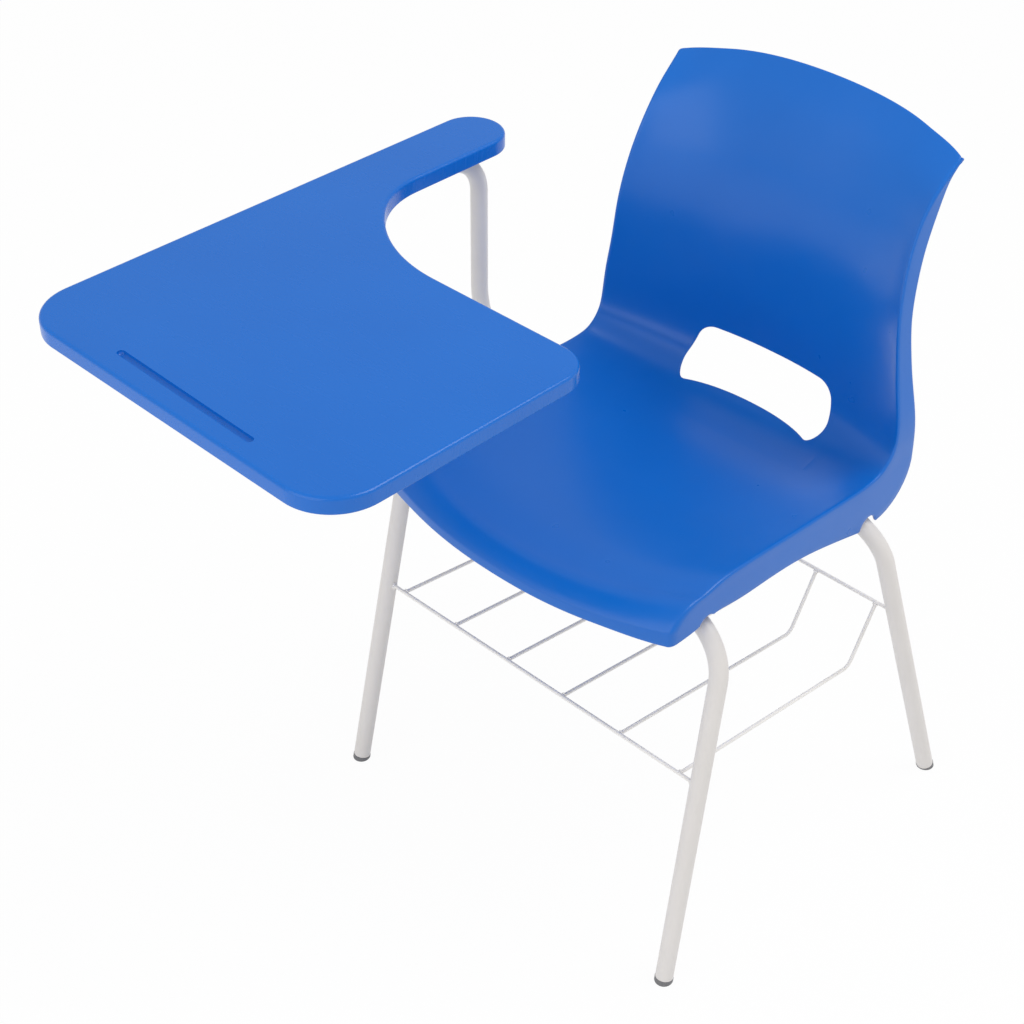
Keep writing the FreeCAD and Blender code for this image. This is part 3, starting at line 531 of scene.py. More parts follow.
def slot_sides():
    """Front view of the slot: four stretches from one corner's middle to the next, as (x, z)."""
    arcs = []
    for i, (x, z, radius) in enumerate(SLOT_CORNERS):
        corner = np.array((x, z))
        way_in = unit(corner - np.array(SLOT_CORNERS[i - 1][:2]))
        way_out = unit(np.array(SLOT_CORNERS[(i + 1) % 4][:2]) - corner)
        turn = math.acos(float(way_in @ way_out))
        middle = corner + unit(way_out - way_in) * radius / math.cos(turn / 2)
        first = corner - way_in * radius * math.tan(turn / 2) - middle
        angles = math.atan2(first[1], first[0]) + np.linspace(0, turn, 21)
        arcs.append(middle + radius * np.stack([np.cos(angles), np.sin(angles)], axis=1))
    sides = []
    for here, there in zip(arcs, arcs[1:] + arcs[:1]):
        run = here[-1] + np.linspace(0, 1, 60)[1:-1, None] * (there[0] - here[-1])
        sides.append((here[10:], run, there[:11]))
    return sides


def along_side(side, count):
    """x and z of count points of one side, closer together round its corners."""
    line = np.concatenate(side)
    steps = np.linalg.norm(np.diff(line, axis=0), axis=1)
    curved = np.ones(len(steps))
    curved[:len(side[0]) - 1] = CORNER_WEIGHT
    curved[-(len(side[2]) - 1):] = CORNER_WEIGHT
    weight = np.concatenate([[0], np.cumsum(steps * curved)])
    where = np.linspace(0, weight[-1], count + 1)[:-1]
    return [np.interp(where, weight, line[:, i]) for i in (0, 1)]


# Columns over half the dish, the soft rim and the wall; the dish's stand closer towards the rim
DISH_COLUMNS, SOFT_COLUMNS, WALL_COLUMNS, COLUMN_SPREAD = 34, 7, 6, 1.2


def outer_sheet(rows):
    """Points of the moulding's outer sheet, row by row, and the directions square to it."""
    rim_x = shell.rim_x(rows)
    shares = np.sin(np.linspace(-1, 1, 2 * DISH_COLUMNS + 1) * COLUMN_SPREAD) / math.sin(COLUMN_SPREAD)
    dish_part = shell.at(shares[None, :] * (rim_x - RIM_ROUND)[:, None], rows[:, None])
    near = shell.at(rim_x - RIM_ROUND, rows)
    rim = shell.at(rim_x, rows)
    run = unit((shell.at(rim_x, rows + 0.05) - shell.at(rim_x, rows - 0.05))[:, 1:])
    away = np.stack([np.zeros(len(rows)), run[:, 1], -run[:, 0]], axis=1)
    edge_at = edge_places(rows)
    edge = np.stack([rim_x] + [np.interp(edge_at, edge_along, edge_line[:, i]) for i in (0, 1)], axis=1)
    wall_height = np.linalg.norm(edge - rim, axis=1)
    wall_top = rim + away * np.minimum(RIM_ROUND, wall_height * 0.5)[:, None]
    edge[:, 0] = half_width(edge[:, 2])
    turn = np.linspace(0, 1, SOFT_COLUMNS + 1)[1:, None, None]
    soft = (1 - turn) ** 2 * near + 2 * turn * (1 - turn) * rim + turn ** 2 * wall_top
    down = np.linspace(0, 1, WALL_COLUMNS + 1)[1:, None, None]
    wall = wall_top + (edge - wall_top) * down
    wall[..., 0] = half_width(wall[..., 2])
    right_part = np.concatenate([soft, wall]).transpose(1, 0, 2)
    left_part = right_part[:, ::-1] * (-1, 1, 1)
    outer = softened(np.concatenate([left_part, dish_part, right_part], axis=1))
    square = unit(np.cross(np.gradient(outer, axis=1), np.gradient(outer, axis=0)))
    for columns, way in ((slice(None, WALL_COLUMNS), -1), (slice(-WALL_COLUMNS, None), 1)):
        z = outer[:, columns, 2]
        taper = half_width(z - 0.5) - half_width(z + 0.5)
        square[:, columns] = unit(np.stack([np.full(taper.shape, way), np.zeros(taper.shape), taper], axis=-1))
    return outer, square


def box_sides(first_row, last_row, first_col, last_col):
    """The four sides of a box of rows and columns, each up to the next corner."""
    return (
        [(first_row, c) for c in range(first_col, last_col)],
        [(r, last_col) for r in range(first_row, last_row)],
        [(last_row, c) for c in range(last_col, first_col, -1)],
        [(r, first_col) for r in range(last_row, first_row, -1)],
    )


def seat_sheet():
    """The outer sheet's points, directions square to it, faces, and free edges with the rings inside them."""
    rows = lengthwise_places()
    outer, square = outer_sheet(rows)
    high, wide = outer.shape[:2]
    first_col = int(np.argmax(np.abs(outer[high // 2, :, 0]) < HOLE_HALF)) - 1
    last_col = wide - 1 - first_col
    first_row = int(np.argmax(rows > HOLE_START))
    last_row = next(r for r in range(first_row, high) if outer[r, wide // 2, 2] > HOLE_TOP_Z)
    kept = np.ones((high, wide), bool)
    kept[first_row + 1:last_row, first_col + 1:last_col] = False
    points, squares = list(outer[kept]), list(square[kept])
    number = np.cumsum(kept) - 1
    grid = np.array(quads(high, wide, columns_close=False))
    faces = number[grid[kept.ravel()[grid].all(axis=1)]].tolist()
    number = number.reshape(high, wide)

    hole = box_sides(first_row, last_row, first_col, last_col)
    lower_back = np.linspace(BEND_START - 0.2, TOP_END, 700)
    start, goal = [], []
    for hole_side, slot_side in zip(hole, slot_sides()):
        start += [(outer[r, c, 0], rows[r]) for r, c in hole_side]
        x, z = along_side(slot_side, len(hole_side))
        goal += list(zip(x, shell.t_reaching(shell.zs, lower_back, x, z)))
    start, goal = np.array(start), np.array(goal)
    rings = [[number[spot] for spot in sum(hole, [])]]
    for step in range(1, SLOT_RINGS + 1):
        share = (step / SLOT_RINGS) ** RING_POWER
        x, t = (start * (1 - share) + goal * share).T
        rings.append(list(range(len(points), len(points) + len(x))))
        points += list(shell.at(x, t))
        squares += list(shell.square_to(x, t))
        faces += band(rings[-2], rings[-1])

    inner = np.pad(number[1:-1, 1:-1], 1, mode="edge")
    rim = sum(box_sides(0, high - 1, 0, wide - 1), [])
    edges = (([number[spot] for spot in rim], [inner[spot] for spot in rim]), (rings[-1], rings[-2]))
    return np.array(points), np.array(squares), faces, edges


def seat_shell():
    """Outer and inner sheets of the moulding, joined by a rounded edge all round and in the slot."""
    points, squares, faces, edges = seat_sheet()
    count = len(points)
    whole = [points, points - squares * SHELL_T]
    faces += [tuple(count + i for i in reversed(face)) for face in faces]
    for loop, inside in edges:
        p, n = points[loop], squares[loop]
        tangent = unit(unit(np.roll(p, -1, axis=0) - p) + unit(p - np.roll(p, 1, axis=0)))
        outward = unit(np.cross(tangent, n))
        outward *= np.sign(np.sum(outward * (p - points[inside])))
        whole[0][loop] = p - outward * EDGE_R
        whole[1][loop] = whole[0][loop] - n * SHELL_T
        rings = [loop]
        for degrees, from_inner in ((30, 0), (60, 0), (90, 0), (90, 1), (60, 1), (30, 1)):
            turn = math.radians(degrees)
            lift, sink = EDGE_R * math.sin(turn), EDGE_R * (1 - math.cos(turn))
            total = sum(len(part) for part in whole)
            rings.append(list(range(total, total + len(loop))))
            whole.append(p - outward * (EDGE_R - lift) - n * (SHELL_T - sink if from_inner else sink))
        rings.append([count + i for i in loop])
        for one, two in zip(rings, rings[1:]):
            faces += band(two, one)
    return from_points("shell_skin", np.concatenate(whole), faces, smooth=40)


# Underside of the seat

RIB_T, RIB_DEPTH, RIB_PITCH, RIB_CHAMFER = 3.0, 8.0, 60.0, 0.7
RIB_Y = (SEAT_FRONT_Y + 95, BACK_Y - 55)
SUNK = 0.6              # ribs and posts reach this far into the wall they stand on


def rib(xs, ts):
    """One rib along places (x, t) of the seat, from inside the wall down to its own edge."""
    face, square = shell.at(xs, ts), shell.square_to(xs, ts)
    top = face - square * (SHELL_T - SUNK)
    low = face - square * (SHELL_T + RIB_DEPTH)
    aside = unit(np.cross(unit(np.gradient(top, axis=0)), square))
    lift = square * RIB_CHAMFER
    half, flat = aside * (RIB_T / 2), aside * (RIB_T / 2 - RIB_CHAMFER)
    lines = [top - half, low - half + lift, low - flat, low + flat, low + half + lift, top + half]
    count = len(top)
    faces = quads(len(lines), count, rows_close=True, columns_close=False)
    faces += [[i * count + end for i in range(len(lines))] for end in (0, count - 1)]
    return from_points("rib", np.concatenate(lines), faces)


def seat_ribs():
    """The grid of ribs under the seat."""
    ribs = []
    for i in range(-2, 3):
        ys = np.linspace(*RIB_Y, 40)
        xs = np.full(ys.shape, i * RIB_PITCH)
        ribs.append(rib(xs, shell.t_at_depth(xs, ys)))
    for y in np.arange(RIB_Y[0], RIB_Y[1] + 1, RIB_PITCH):
        xs = np.linspace(SHELL_T - SEAT_HALF, SEAT_HALF - SHELL_T, 60)
        ribs.append(rib(xs, shell.t_at_depth(xs, np.full(xs.shape, y + RIB_T / 2))))
    return joined(ribs, "shell_ribs")


# Places of the frames

TUBE_R, WIRE_R = 9.5, 2.0
PLUG_H, PLUG_R = 5.0, 9.9
FRONT_RUN = (216.5, -150.0, 418.03)
FRONT_FOOT = (233.5, -227.0, 0.0)
REAR_RUN = (213.0, 97.0, 404.24)
REAR_FOOT = (243.7, 227.0, 0.0)
LEG_BENDS = (60, 60)


def at_height(a, b, z):
    """The place of that height on the line from a to b."""
    share = (z - a[2]) / (b[2] - a[2])
    return tuple(between(p, q, share) for p, q in zip(a, b))


def across(spot):
    """The same place on the chair's other side."""
    return (-spot[0], spot[1], spot[2])


BOSS_X, BOSS_SIDES, SADDLE_R = 135, 48, TUBE_R + 0.05
BOSS_RINGS = ((0, 0), (4, 0), (8, 0), (10.8, 0), (12, 1))    # radius, and how far the chamfer takes it up


def seat_bosses(run):
    """Round posts with a saddle for the cross run, one on each side."""
    solids = []
    angles = np.linspace(0, 2 * np.pi, BOSS_SIDES + 1)[:-1]
    widest = BOSS_RINGS[-1][0]
    for side in (1, -1):
        points = []
        for radius, chamfer in BOSS_RINGS:
            for angle in angles:
                dx, dy = radius * math.cos(angle), radius * math.sin(angle)
                saddle = max(math.sqrt(max(SADDLE_R ** 2 - dy * dy, 0)), TUBE_R / 2)
                points.append((side * BOSS_X + dx, run[1] + dy, run[2] + saddle + chamfer))
        xs = side * BOSS_X + widest * np.cos(angles)
        ts = shell.t_at_depth(xs, run[1] + widest * np.sin(angles))
        points += list(shell.at(xs, ts) - (0, 0, SHELL_T - SUNK))
        faces = quads(len(BOSS_RINGS) + 1, BOSS_SIDES)
        faces.append([len(BOSS_RINGS) * BOSS_SIDES + i for i in range(BOSS_SIDES)])
        solids.append(from_points("boss", points, faces))
    return solids


# Rings of a glide: radius, and either how far beyond the tube's end or how high above the floor
PLUG_RINGS = (
    (8.2, -4, None), (8.2, 0, None), (PLUG_R - 0.5, 0, None), (PLUG_R, 0.5, None),
    (PLUG_R, None, 0.9), (PLUG_R - 0.3, None, 0.3), (PLUG_R - 0.9, None, 0.0),
)
PLUG_SIDES, LEAST_STEP = 48, 0.55


def foot_plug(name, run, foot):
    """Moulded glide: a thin cap on the tube's end, cut flat where it stands on the floor."""
    way = (Vector(foot) - Vector(run)).normalized()
    end = Vector(at_height(Vector(run), Vector(foot), PLUG_H))
    points = []
    for radius, reach, height in PLUG_RINGS:
        for out, _ in spokes(way, PLUG_SIDES):
            spot = end + out * radius
            step = reach if reach is not None else max((height - spot.z) / way.z, LEAST_STEP)
            points.append(spot + way * step)
    faces = quads(len(PLUG_RINGS), PLUG_SIDES)
    faces += [[row * PLUG_SIDES + i for i in range(PLUG_SIDES)] for row in (0, len(PLUG_RINGS) - 1)]
    return from_points(name, points, faces)


BEAD_AROUND, BEAD_SIDES = 36, 10


def weld(centre, way, radius, bead, seed):
    """A small ring of weld, slightly uneven, painted over with the rest."""
    centre, way = Vector(centre), Vector(way).normalized()
    points = []
    for out, angle in spokes(way, BEAD_AROUND):
        fat = bead * (1 + 0.16 * math.sin(9 * angle + seed) + 0.08 * math.sin(5 * angle + 2 * seed))
        for j in range(BEAD_SIDES):
            turn = 2 * math.pi * j / BEAD_SIDES
            points.append(centre + out * (radius + fat * math.cos(turn)) + way * fat * math.sin(turn))
    return from_points("bead", points, quads(BEAD_AROUND, BEAD_SIDES, rows_close=True), smooth=80)


# Writing tablet

TABLET_TOP, TABLET_T, TABLET_WALL = 685.0, 17.0, 4.0
TABLET_LOW = TABLET_TOP - TABLET_T
TABLET_X, TABLET_W, TABLET_D = -345.0, 434.0, 308.0
ELBOW_W, ELBOW_END = 73.0, 69.5
FRONT_R, REAR_R, COVE_X, COVE_Y, COVE_R = 55.0, 36.0, 157.0, 125.0, 100.0
ARM_X = TABLET_X + ELBOW_W / 2
TURN_Y = -357.0
GROOVE_X, GROOVE_Y, GROOVE_R, GROOVE_RUN, GROOVE_SLANT = -221.0, -487.5, 4.0, 182.0, -0.027
GROOVE_Z, TROUGH_TOP_Z = TABLET_TOP - 0.2, TABLET_TOP - 2.4
TOP_EDGE_R, TOP_INSET, LOW_EDGE_R = 3.5, 1.2, 1.5
FRONT_SLANT = 4.5       # the front edge comes forward towards the sitter's side
TABLET_SCREWS = [(ARM_X + dx, y) for y in (-22.5, -242.0) for dx in (-20, 20)]
TABLET_SCREWS += [(x, TURN_Y + dy) for x in (-115.0, -10.0) for dy in (-35, 35)]


def tablet_outline():
    """The tablet's outline seen from above, anticlockwise, as (x, y), slanted towards its front."""
    rear = TABLET_FRONT_Y + TABLET_D
    tip = ELBOW_W / 2
    gentle = ((COVE_X - COVE_R) ** 2 + COVE_Y ** 2 - COVE_R ** 2) / (2 * (COVE_Y - COVE_R))
    elbow_x = TABLET_X + ELBOW_W
    wide = (elbow_x + COVE_X, rear + gentle)
    tight = (elbow_x + COVE_R, rear + COVE_Y)
    join = 180 + math.degrees(math.atan2(wide[1] - tight[1], wide[0] - tight[0]))
    end_x = TABLET_X + TABLET_W
    arcs = (
        ((TABLET_X + FRONT_R, TABLET_FRONT_Y + FRONT_R), FRONT_R, 180, 270),
        ((end_x - FRONT_R, TABLET_FRONT_Y + FRONT_R), FRONT_R, 270, 360),
        ((end_x - REAR_R, rear - REAR_R), REAR_R, 0, 90),
        (wide, gentle, 270, join),
        (tight, COVE_R, join, 180),
        ((ARM_X, ELBOW_END - tip), tip, 0, 180),
    )
    outline = []
    for (x, y), radius, first, last in arcs:
        steps = max(4, round(abs(last - first) * max(radius, 60) / 240))
        for angle in np.radians(np.linspace(first, last, steps + 1)):
            spot = (x + radius * math.cos(angle), y + radius * math.sin(angle))
            if not outline or math.dist(spot, outline[-1]) > 0.05:
                outline.append(spot)

    def forward(x, y):
        return FRONT_SLANT * (x - TABLET_X) / TABLET_W * smooth_step(0, 1, (rear - y) / TABLET_D)

    return [(x, y - forward(x, y)) for x, y in outline]


OUTLINE = tablet_outline()


def pick(piece, test):
    """In edit mode: selects the faces that pass the test, told their middle in chair millimetres."""
    bm = bmesh.from_edit_mesh(piece.data)
    for face in bm.faces:
        face.select_set(test((face.calc_center_median() - SHIFT) / MM, face))
    bm.select_flush_mode()


def pick_flat(piece, z):
    """Selects the tablet's whole top or bottom, the one face of many corners at that height."""
    pick(piece, lambda middle, face: abs(middle.z - z) < 0.01 and len(face.verts) > 20)


def groove_bar(name, radius, start_x):
    """A round bar along the pen groove, to add or to cut with."""
    start = (start_x, GROOVE_Y, GROOVE_Z)
    return turned(name, bar_profile(radius, GROOVE_RUN), start, (1, GROOVE_SLANT, 0), sides=64)


def tablet_board():
    """The moulded board: rounded edges, a hollow underside and the pen groove."""
    pick_up(None)
    bpy.ops.mesh.primitive_circle_add(vertices=len(OUTLINE), radius=1, location=(0, 0, 0))
    board = bpy.context.object
    for vertex, (x, y) in zip(board.data.vertices, OUTLINE):
        vertex.co = place(x, y, TABLET_LOW)
    open_mesh()
    bpy.ops.mesh.edge_face_add()
    draw_out((0, 0, TABLET_T * MM))
    bpy.ops.mesh.select_mode(type="FACE")
    bpy.ops.mesh.bevel(offset=TOP_EDGE_R * MM, segments=6, affect="EDGES")
    pick_flat(board, TABLET_TOP)
    bpy.ops.mesh.inset(thickness=TOP_INSET * MM)
    pick_flat(board, TABLET_LOW)
    bpy.ops.mesh.bevel(offset=LOW_EDGE_R * MM, segments=3, affect="EDGES")
    pick_flat(board, TABLET_LOW)
    bpy.ops.mesh.inset(thickness=(TABLET_WALL - LOW_EDGE_R) * MM)
    draw_out((0, 0, (TABLET_T - TABLET_WALL) * MM))
    bpy.ops.object.mode_set(mode="OBJECT")
    settle(board, "tablet_skin")
    trough = groove_bar("trough", GROOVE_R + TABLET_WALL, GROOVE_X - TABLET_WALL)
    pick_up(trough)
    open_mesh()
    bpy.ops.mesh.bisect(plane_co=place(0, 0, TROUGH_TOP_Z), plane_no=(0, 0, 1), use_fill=True, clear_outer=True)
    bpy.ops.object.mode_set(mode="OBJECT")
    combine(board, trough, "UNION")
    combine(board, groove_bar("groove", GROOVE_R, GROOVE_X), "DIFFERENCE")
    return board


def crossings(axis, value):
    """Where a straight line over the tablet, x or y fixed, crosses its outline."""
    found = []
    for a, b in zip(OUTLINE, OUTLINE[1:] + OUTLINE[:1]):
        if (a[axis] - value) * (b[axis] - value) < 0:
            share = (value - a[axis]) / (b[axis] - a[axis])
            found.append(between(a[1 - axis], b[1 - axis], share))
    found.sort()
    return list(zip(found[::2], found[1::2]))


TABLET_RIB_T, TABLET_PITCH, POST_H = 2.5, 62, 14.2
# Radius and distance of a screw post, down from where it stands, with the screw's hole
POST = ((0, 0), (6, 0), (6, 13.3), (5.7, 13.9), (5.0, POST_H), (2.3, POST_H), (2.3, 3), (0, 3))


def tablet_rib(low, high):
    """One straight rib between two corners of its box, rounded along its free edges."""
    pick_up(None)
    middle = [(a + b) / 2 for a, b in zip(low, high)]
    bpy.ops.mesh.primitive_cube_add(size=MM, location=place(*middle), scale=[b - a for a, b in zip(low, high)])
    bar = bpy.context.object
    open_mesh()
    bpy.ops.mesh.select_mode(type="FACE")
    pick(bar, lambda middle, face: face.normal.z < -0.9)
    bpy.ops.mesh.bevel(offset=0.6 * MM, segments=2, affect="EDGES")
    return settle(bar, "rib")


def tablet_underside():
    """Grid of ribs and the screw posts in the tablet's hollow."""
    low, high = TABLET_LOW + 4, TABLET_TOP - TABLET_WALL + SUNK
    thick = TABLET_RIB_T
    parts = []
    for i in range(1, 8):
        x = TABLET_X + TABLET_PITCH * i
        for first, last in crossings(0, x + thick / 2):
            stops = [first + thick, last - thick]
            if GROOVE_X - 3 < x < GROOVE_X + GROOVE_RUN + 2 * GROOVE_R:
                groove_y = GROOVE_Y + GROOVE_SLANT * (x - GROOVE_X)
                stops[1:1] = [groove_y - GROOVE_R - 2, groove_y + GROOVE_R + 2]
            for near, far in zip(stops[::2], stops[1::2]):
                parts.append(tablet_rib((x, near, low), (x + thick, far, high)))
    for i in range(1, 10):
        y = TABLET_FRONT_Y + TABLET_PITCH * i
        for first, last in crossings(1, y + thick / 2):
            parts.append(tablet_rib((first + thick, y, low), (last - thick, y + thick, high)))
    for x, y in TABLET_SCREWS:
        parts.append(turned("post", POST, (x, y, TABLET_LOW + POST_H), (0, 0, -1), sides=32))
    return joined(parts, "tablet_underside")


def bar_profile(radius, length):
    """Profile of a round bar with round ends, its middle line of that length."""
    ends = [(radius * math.sin(a), radius - radius * math.cos(a)) for a in np.radians(np.linspace(0, 90, 17))]
    return ends + [(r, length + 2 * radius - reach) for r, reach in reversed(ends)]


def modify(piece, kind, **settings):
    """Adds a modifier with these settings and applies it."""
    pick_up(piece)
    modifier = piece.modifiers.new(kind, kind)
    for name, value in settings.items():
        setattr(modifier, name, value)
    bpy.ops.object.modifier_apply(modifier=modifier.name)


def combine(piece, other, operation):
    """Takes the other out of a piece, or makes it part of it, and removes the other."""
    modify(piece, "BOOLEAN", operation=operation, solver="EXACT", object=other)
    bpy.data.objects.remove(other)


# Materials


def feed(tree, socket, value):
    """Links what feeds a socket, or sets its value."""
    if isinstance(value, bpy.types.NodeSocket):
        tree.links.new(value, socket)
    else:
        socket.default_value = value


def add(tree, kind, *values, **settings):
    """A shader node: values go to its inputs in turn; settings name its options or its inputs."""
    made = tree.nodes.new(kind)
    for name, value in settings.items():
        if hasattr(made, name) and name not in ("inputs", "color"):
            setattr(made, name, value)
        else:
            spoken = name.replace("_", " ").lower()
            feed(tree, next(s for s in made.inputs if s.name.lower() == spoken and s.enabled), value)
    for socket, value in zip(made.inputs, values):
        feed(tree, socket, value)
    return made


def colour(code):
    """A written sRGB colour such as #1060c0 as linear light."""
    parts = [int(code[i:i + 2], 16) / 255 for i in (1, 3, 5)]
    return [part / 12.92 if part <= 0.04045 else ((part + 0.055) / 1.055) ** 2.4 for part in parts] + [1]


GLOSS_PATCH_MM = 26     # pieces of shine and dullness this far apart


def bare_tree(owner):
    """The node tree of a material or the world, emptied."""
    owner.use_nodes = True
    owner.node_tree.nodes.clear()
    return owner.node_tree


def painted(name, dark, light, patch, rough, grain, depth, specular=0.5, metal=0.0, stretch=(1, 1, 1)):
    """Principled surface: two near colours in soft patches, uneven gloss and a fine relief."""
    material = bpy.data.materials.new(name)
    tree = bare_tree(material)
    where = add(tree, "ShaderNodeTexCoord").outputs["Object"]
    streaked = add(tree, "ShaderNodeMapping", Vector=where, Scale=stretch).outputs[0]

    def noise(vector, size_mm, detail, roughness):
        scale = 1 / (size_mm * MM)
        made = add(tree, "ShaderNodeTexNoise", Vector=vector, Scale=scale, Detail=detail, Roughness=roughness)
        return made.outputs["Fac"]

    patches = noise(where, patch, 3.0, 0.55)
    mixed = add(tree, "ShaderNodeMix", data_type="RGBA", Factor=patches, A=colour(dark), B=colour(light))
    gloss = add(
        tree, "ShaderNodeMapRange", Value=noise(streaked, GLOSS_PATCH_MM, 2.0, 0.5), To_Min=rough[0], To_Max=rough[1]
    )
    relief = add(tree, "ShaderNodeBump", Height=noise(where, grain, 2.0, 0.5), Strength=1.0, Distance=depth * MM)
    surface = add(
        tree, "ShaderNodeBsdfPrincipled", Base_Color=mixed.outputs[2], Roughness=gloss.outputs[0],
        Normal=relief.outputs[0], Specular_IOR_Level=specular, Metallic=metal,
    )
    add(tree, "ShaderNodeOutputMaterial", Surface=surface.outputs[0])
    return material


MATERIALS = {
    # Polypropylene, injection moulded in blue: an even colour all through, a satin skin off the polished
    # mould that softens what it mirrors, and long faint waves in the gloss where the melt flowed.
    "shell_plastic": painted(
        "moulded_polypropylene_blue", "#0965c2", "#0b6bca", 120, (0.24, 0.38), 2.6, 0.006, specular=0.42
    ),
    # The same plastic for the tablet, glossier from a finer mould. Its colour is a touch lighter than the shell's as
    # painted light, for the light and sheen its top catches.
    "tablet_plastic": painted(
        "moulded_polypropylene_blue_polished", "#0a67c6", "#0c6dce", 140, (0.19, 0.33), 2.8, 0.005, specular=0.42,
        stretch=(1, 4, 1),
    ),
    # Powder coat baked on the bent tube: warm off-white, half matt, with the coat's slight orange peel.
    "tube_paint": painted("powder_coat_off_white", "#dcd8d4", "#e3dfdc", 60, (0.34, 0.44), 1.6, 0.015),
    # The same powder coat on the drawn wire, where it lies thicker and a little duller.
    "wire_paint": painted("powder_coat_off_white_wire", "#eeebe7", "#f4f1ed", 40, (0.4, 0.5), 1.4, 0.015),
    # Polyethylene glides and caps, moulded in grey and left matt, scuffed a little lighter in patches.
    "plug_plastic": painted("moulded_polyethylene_grey", "#6d6d6f", "#77777a", 20, (0.5, 0.62), 0.8, 0.02),
    # Screws of zinc plated steel, bright with a faint yellow of the passivation.
    "screw_steel": painted("zinc_plated_steel", "#b9bcc0", "#c9c8bd", 8, (0.26, 0.4), 0.5, 0.006, metal=1.0),
}


def finished(piece, node, slot):
    """A finished piece rides on the chair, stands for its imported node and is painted."""
    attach(piece, "root")
    if node:
        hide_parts(node)
    piece.data.materials.clear()
    piece.data.materials.append(MATERIALS[slot])
    return piece


# Chair

under = [seat_ribs()] + seat_bosses(FRONT_RUN) + seat_bosses(REAR_RUN)
finished(seat_shell(), "seat_shell", "shell_plastic")
finished(joined(under, "shell_underside"), "seat_shell", "shell_plastic")
FRAMES = (("front", FRONT_RUN, FRONT_FOOT), ("rear", REAR_RUN, REAR_FOOT))
for end, run, foot in FRAMES:
    low = at_height(run, foot, PLUG_H)
    tube = bent_bar(end + "_frame_tube", [across(low), across(run), run, low], LEG_BENDS, TUBE_R)
    finished(tube, end + "_leg_frame", "tube_paint")
for end, run, foot in FRAMES:
    for hand, a, b in (("left", run, foot), ("right", across(run), across(foot))):
        glide = foot_plug("glide_" + end + "_" + hand, a, b)
        finished(glide, "foot_plug_" + end + "_" + hand, "plug_plastic")

ARM_Y, ARM_LOW_Z, ARM_TOP_Z = 45, 387.75, 655.5
ARM_BENDS = (105, 45, 60)
arm_line = [
    (130, ARM_Y, ARM_LOW_Z), (ARM_X, ARM_Y, ARM_LOW_Z), (ARM_X, ARM_Y, ARM_TOP_Z), (ARM_X, TURN_Y, ARM_TOP_Z),
    (19, TURN_Y, ARM_TOP_Z),
]
finished(bent_bar("arm_post_tube", arm_line, ARM_BENDS, TUBE_R), "arm_tube", "tube_paint")

# Book rack: long wires dip to a low bend near the rear and are welded to the cross wires

RACK_FRONT = at_height(FRONT_RUN, FRONT_FOOT, 243.3)
RACK_REAR = at_height(REAR_RUN, REAR_FOOT, 272.4)
RACK_WIRES, RACK_SIDE, RACK_LOW_Z, RACK_DIP, RACK_BEND_R, WIRE_SIDES = 6, 25.5, 204, 38, 12, 24
BEAD, LEG_BEAD, BEAD_REACH = 0.9, 1.3, 2.6


def rack_bar(name, node, points, bends=()):
    """One painted wire of the rack."""
    finished(bent_bar(name, points, bends, WIRE_R, WIRE_SIDES), node, "wire_paint")


rack_bar("rack_bar_front", "rack_front_wire", [across(RACK_FRONT), RACK_FRONT])
rack_bar("rack_bar_rear", "rack_rear_wire", [across(RACK_REAR), RACK_REAR])
beads = []
for number in range(RACK_WIRES):
    x = between(RACK_SIDE - RACK_FRONT[0], RACK_FRONT[0] - RACK_SIDE, number / (RACK_WIRES - 1))
    front, rear, low = (x, *RACK_FRONT[1:]), (x, *RACK_REAR[1:]), (x, RACK_REAR[1] - RACK_DIP, RACK_LOW_Z)
    which = str(number + 1)
    rack_bar("rack_bar_" + which, "rack_wire_" + which, [front, low, rear], [RACK_BEND_R])
    for spot in (front, rear):
        way = Vector(low) - Vector(spot)
        centre = Vector(spot) + way.normalized() * BEAD_REACH
        beads.append(weld(centre, way, WIRE_R + 0.2, BEAD, number + spot[1]))
for spot in (RACK_FRONT, RACK_REAR):
    for side in (1, -1):
        joint = (side * (spot[0] - TUBE_R), spot[1], spot[2])
        beads.append(weld(joint, (side, 0, 0), WIRE_R + 0.4, LEG_BEAD, side + spot[1]))
finished(joined(beads, "rack_weld_beads", smooth=80), None, "wire_paint")

board = finished(tablet_board(), "tablet_board", "tablet_plastic")
pick_up(board)
bpy.ops.object.shade_smooth_by_angle(angle=math.radians(30))
modify(board, "WEIGHTED_NORMAL", keep_sharp=True, weight=80)
finished(tablet_underside(), "tablet_board", "tablet_plastic")

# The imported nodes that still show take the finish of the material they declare
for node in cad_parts.values():
    for slot in node.material_slots:
        said = slot.material.name if slot.material else ""
        for name, material in MATERIALS.items():
            if name in said:
                slot.material = material

# Studio

WHITE, FLOOR_GREY = colour("#ffffff"), colour("#f4f4f4")
FLOOR_SIZE, FLOOR_Z = 12, -0.0002
FLOOR_SHINE = 0.96      # how much of the floor shows as plain white; the rest keeps the shadow
ON_THE_CHAIR = 0.66     # what the world gives the chair as light
CHAIR_MIDDLE = Vector((0, 0, 0.5))


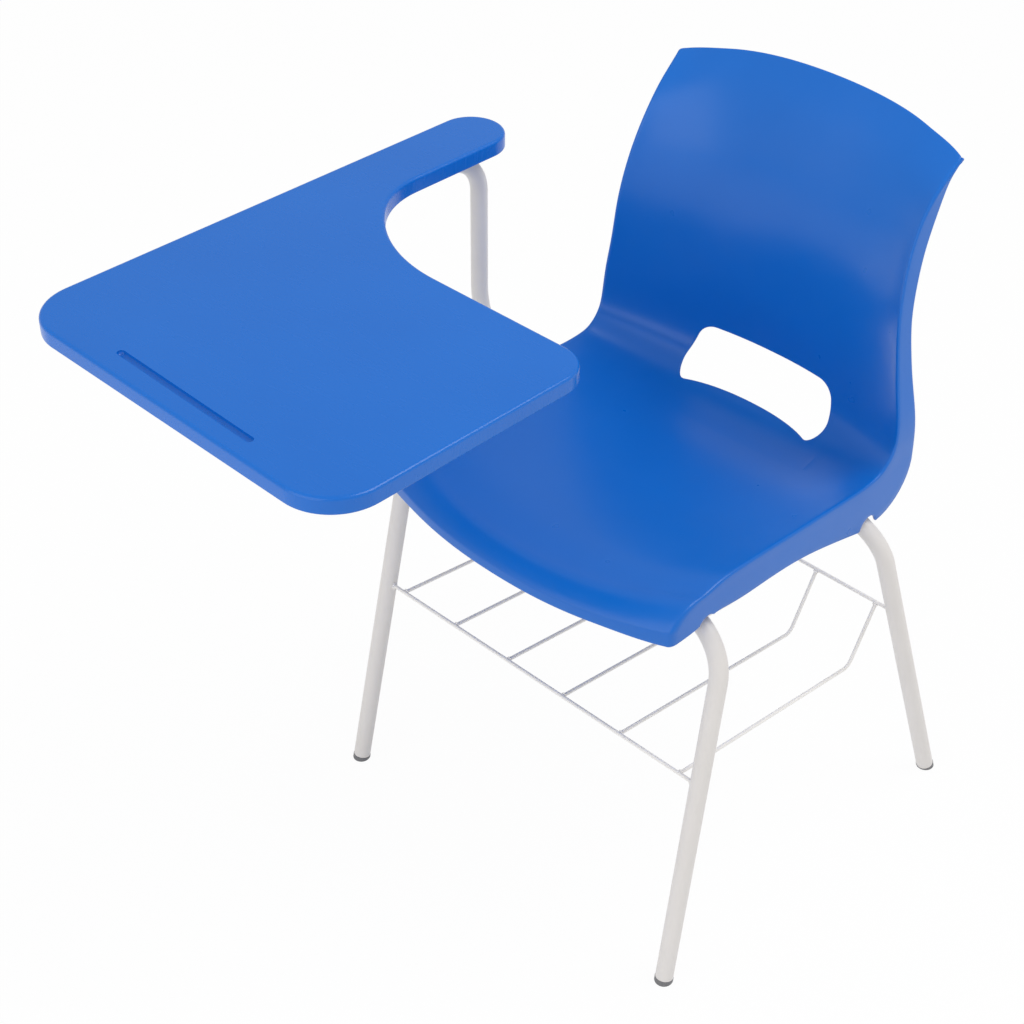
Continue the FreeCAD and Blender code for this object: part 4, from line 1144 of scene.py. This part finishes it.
def seen_directly(tree):
    """1 for rays that show the backdrop itself: from the camera, or mirrored, or through."""
    path = add(tree, "ShaderNodeLightPath").outputs
    seen = path["Is Camera Ray"]
    for ray in ("Is Glossy Ray", "Is Transmission Ray"):
        seen = add(tree, "ShaderNodeMath", seen, path[ray], operation="MAXIMUM").outputs[0]
    return seen


pick_up(None)
bpy.ops.mesh.primitive_plane_add(size=FLOOR_SIZE, location=(0, 0, FLOOR_Z))
floor = bpy.context.object
floor.name = "floor"
floor_paint = bpy.data.materials.new("white_floor")
tree = bare_tree(floor_paint)
lit = add(tree, "ShaderNodeBsdfDiffuse", Color=FLOOR_GREY)
shining = add(tree, "ShaderNodeEmission", Color=WHITE, Strength=1.0)
keep = add(tree, "ShaderNodeMath", seen_directly(tree), FLOOR_SHINE, operation="MULTIPLY")
both = add(tree, "ShaderNodeMixShader", keep.outputs[0], lit.outputs[0], shining.outputs[0])
add(tree, "ShaderNodeOutputMaterial", Surface=both.outputs[0])
floor.data.materials.append(floor_paint)

# Seen directly, the world is white down by the floor and greyer above, for gloss to mirror
world = bpy.data.worlds.new("studio")
bpy.context.scene.world = world
tree = bare_tree(world)
height = add(tree, "ShaderNodeSeparateXYZ", add(tree, "ShaderNodeTexCoord").outputs["Generated"]).outputs["Z"]
cove = add(tree, "ShaderNodeMapRange", Value=height, From_Min=-0.1, From_Max=0.25, To_Min=1.0, To_Max=0.5)
brightness = add(
    tree, "ShaderNodeMapRange", Value=seen_directly(tree), To_Min=ON_THE_CHAIR, To_Max=cove.outputs[0]
)
sky = add(tree, "ShaderNodeBackground", Color=WHITE, Strength=brightness.outputs[0])
add(tree, "ShaderNodeOutputWorld", Surface=sky.outputs[0])


def lamp(name, spot, size, power):
    """A soft square lamp that looks at the chair."""
    data = bpy.data.lights.new(name, "AREA")
    data.shape = "SQUARE"
    data.size = size
    data.energy = power
    hung = put_in_scene(name, data)
    hung.location = Vector(spot)
    hung.rotation_euler = (CHAIR_MIDDLE - hung.location).to_track_quat("-Z", "Y").to_euler()


lamp("key", (0.05, -2.75, 1.65), 2.8, 28)
lamp("rear", (1.15, 0.96, 3.1), 1.6, 35)
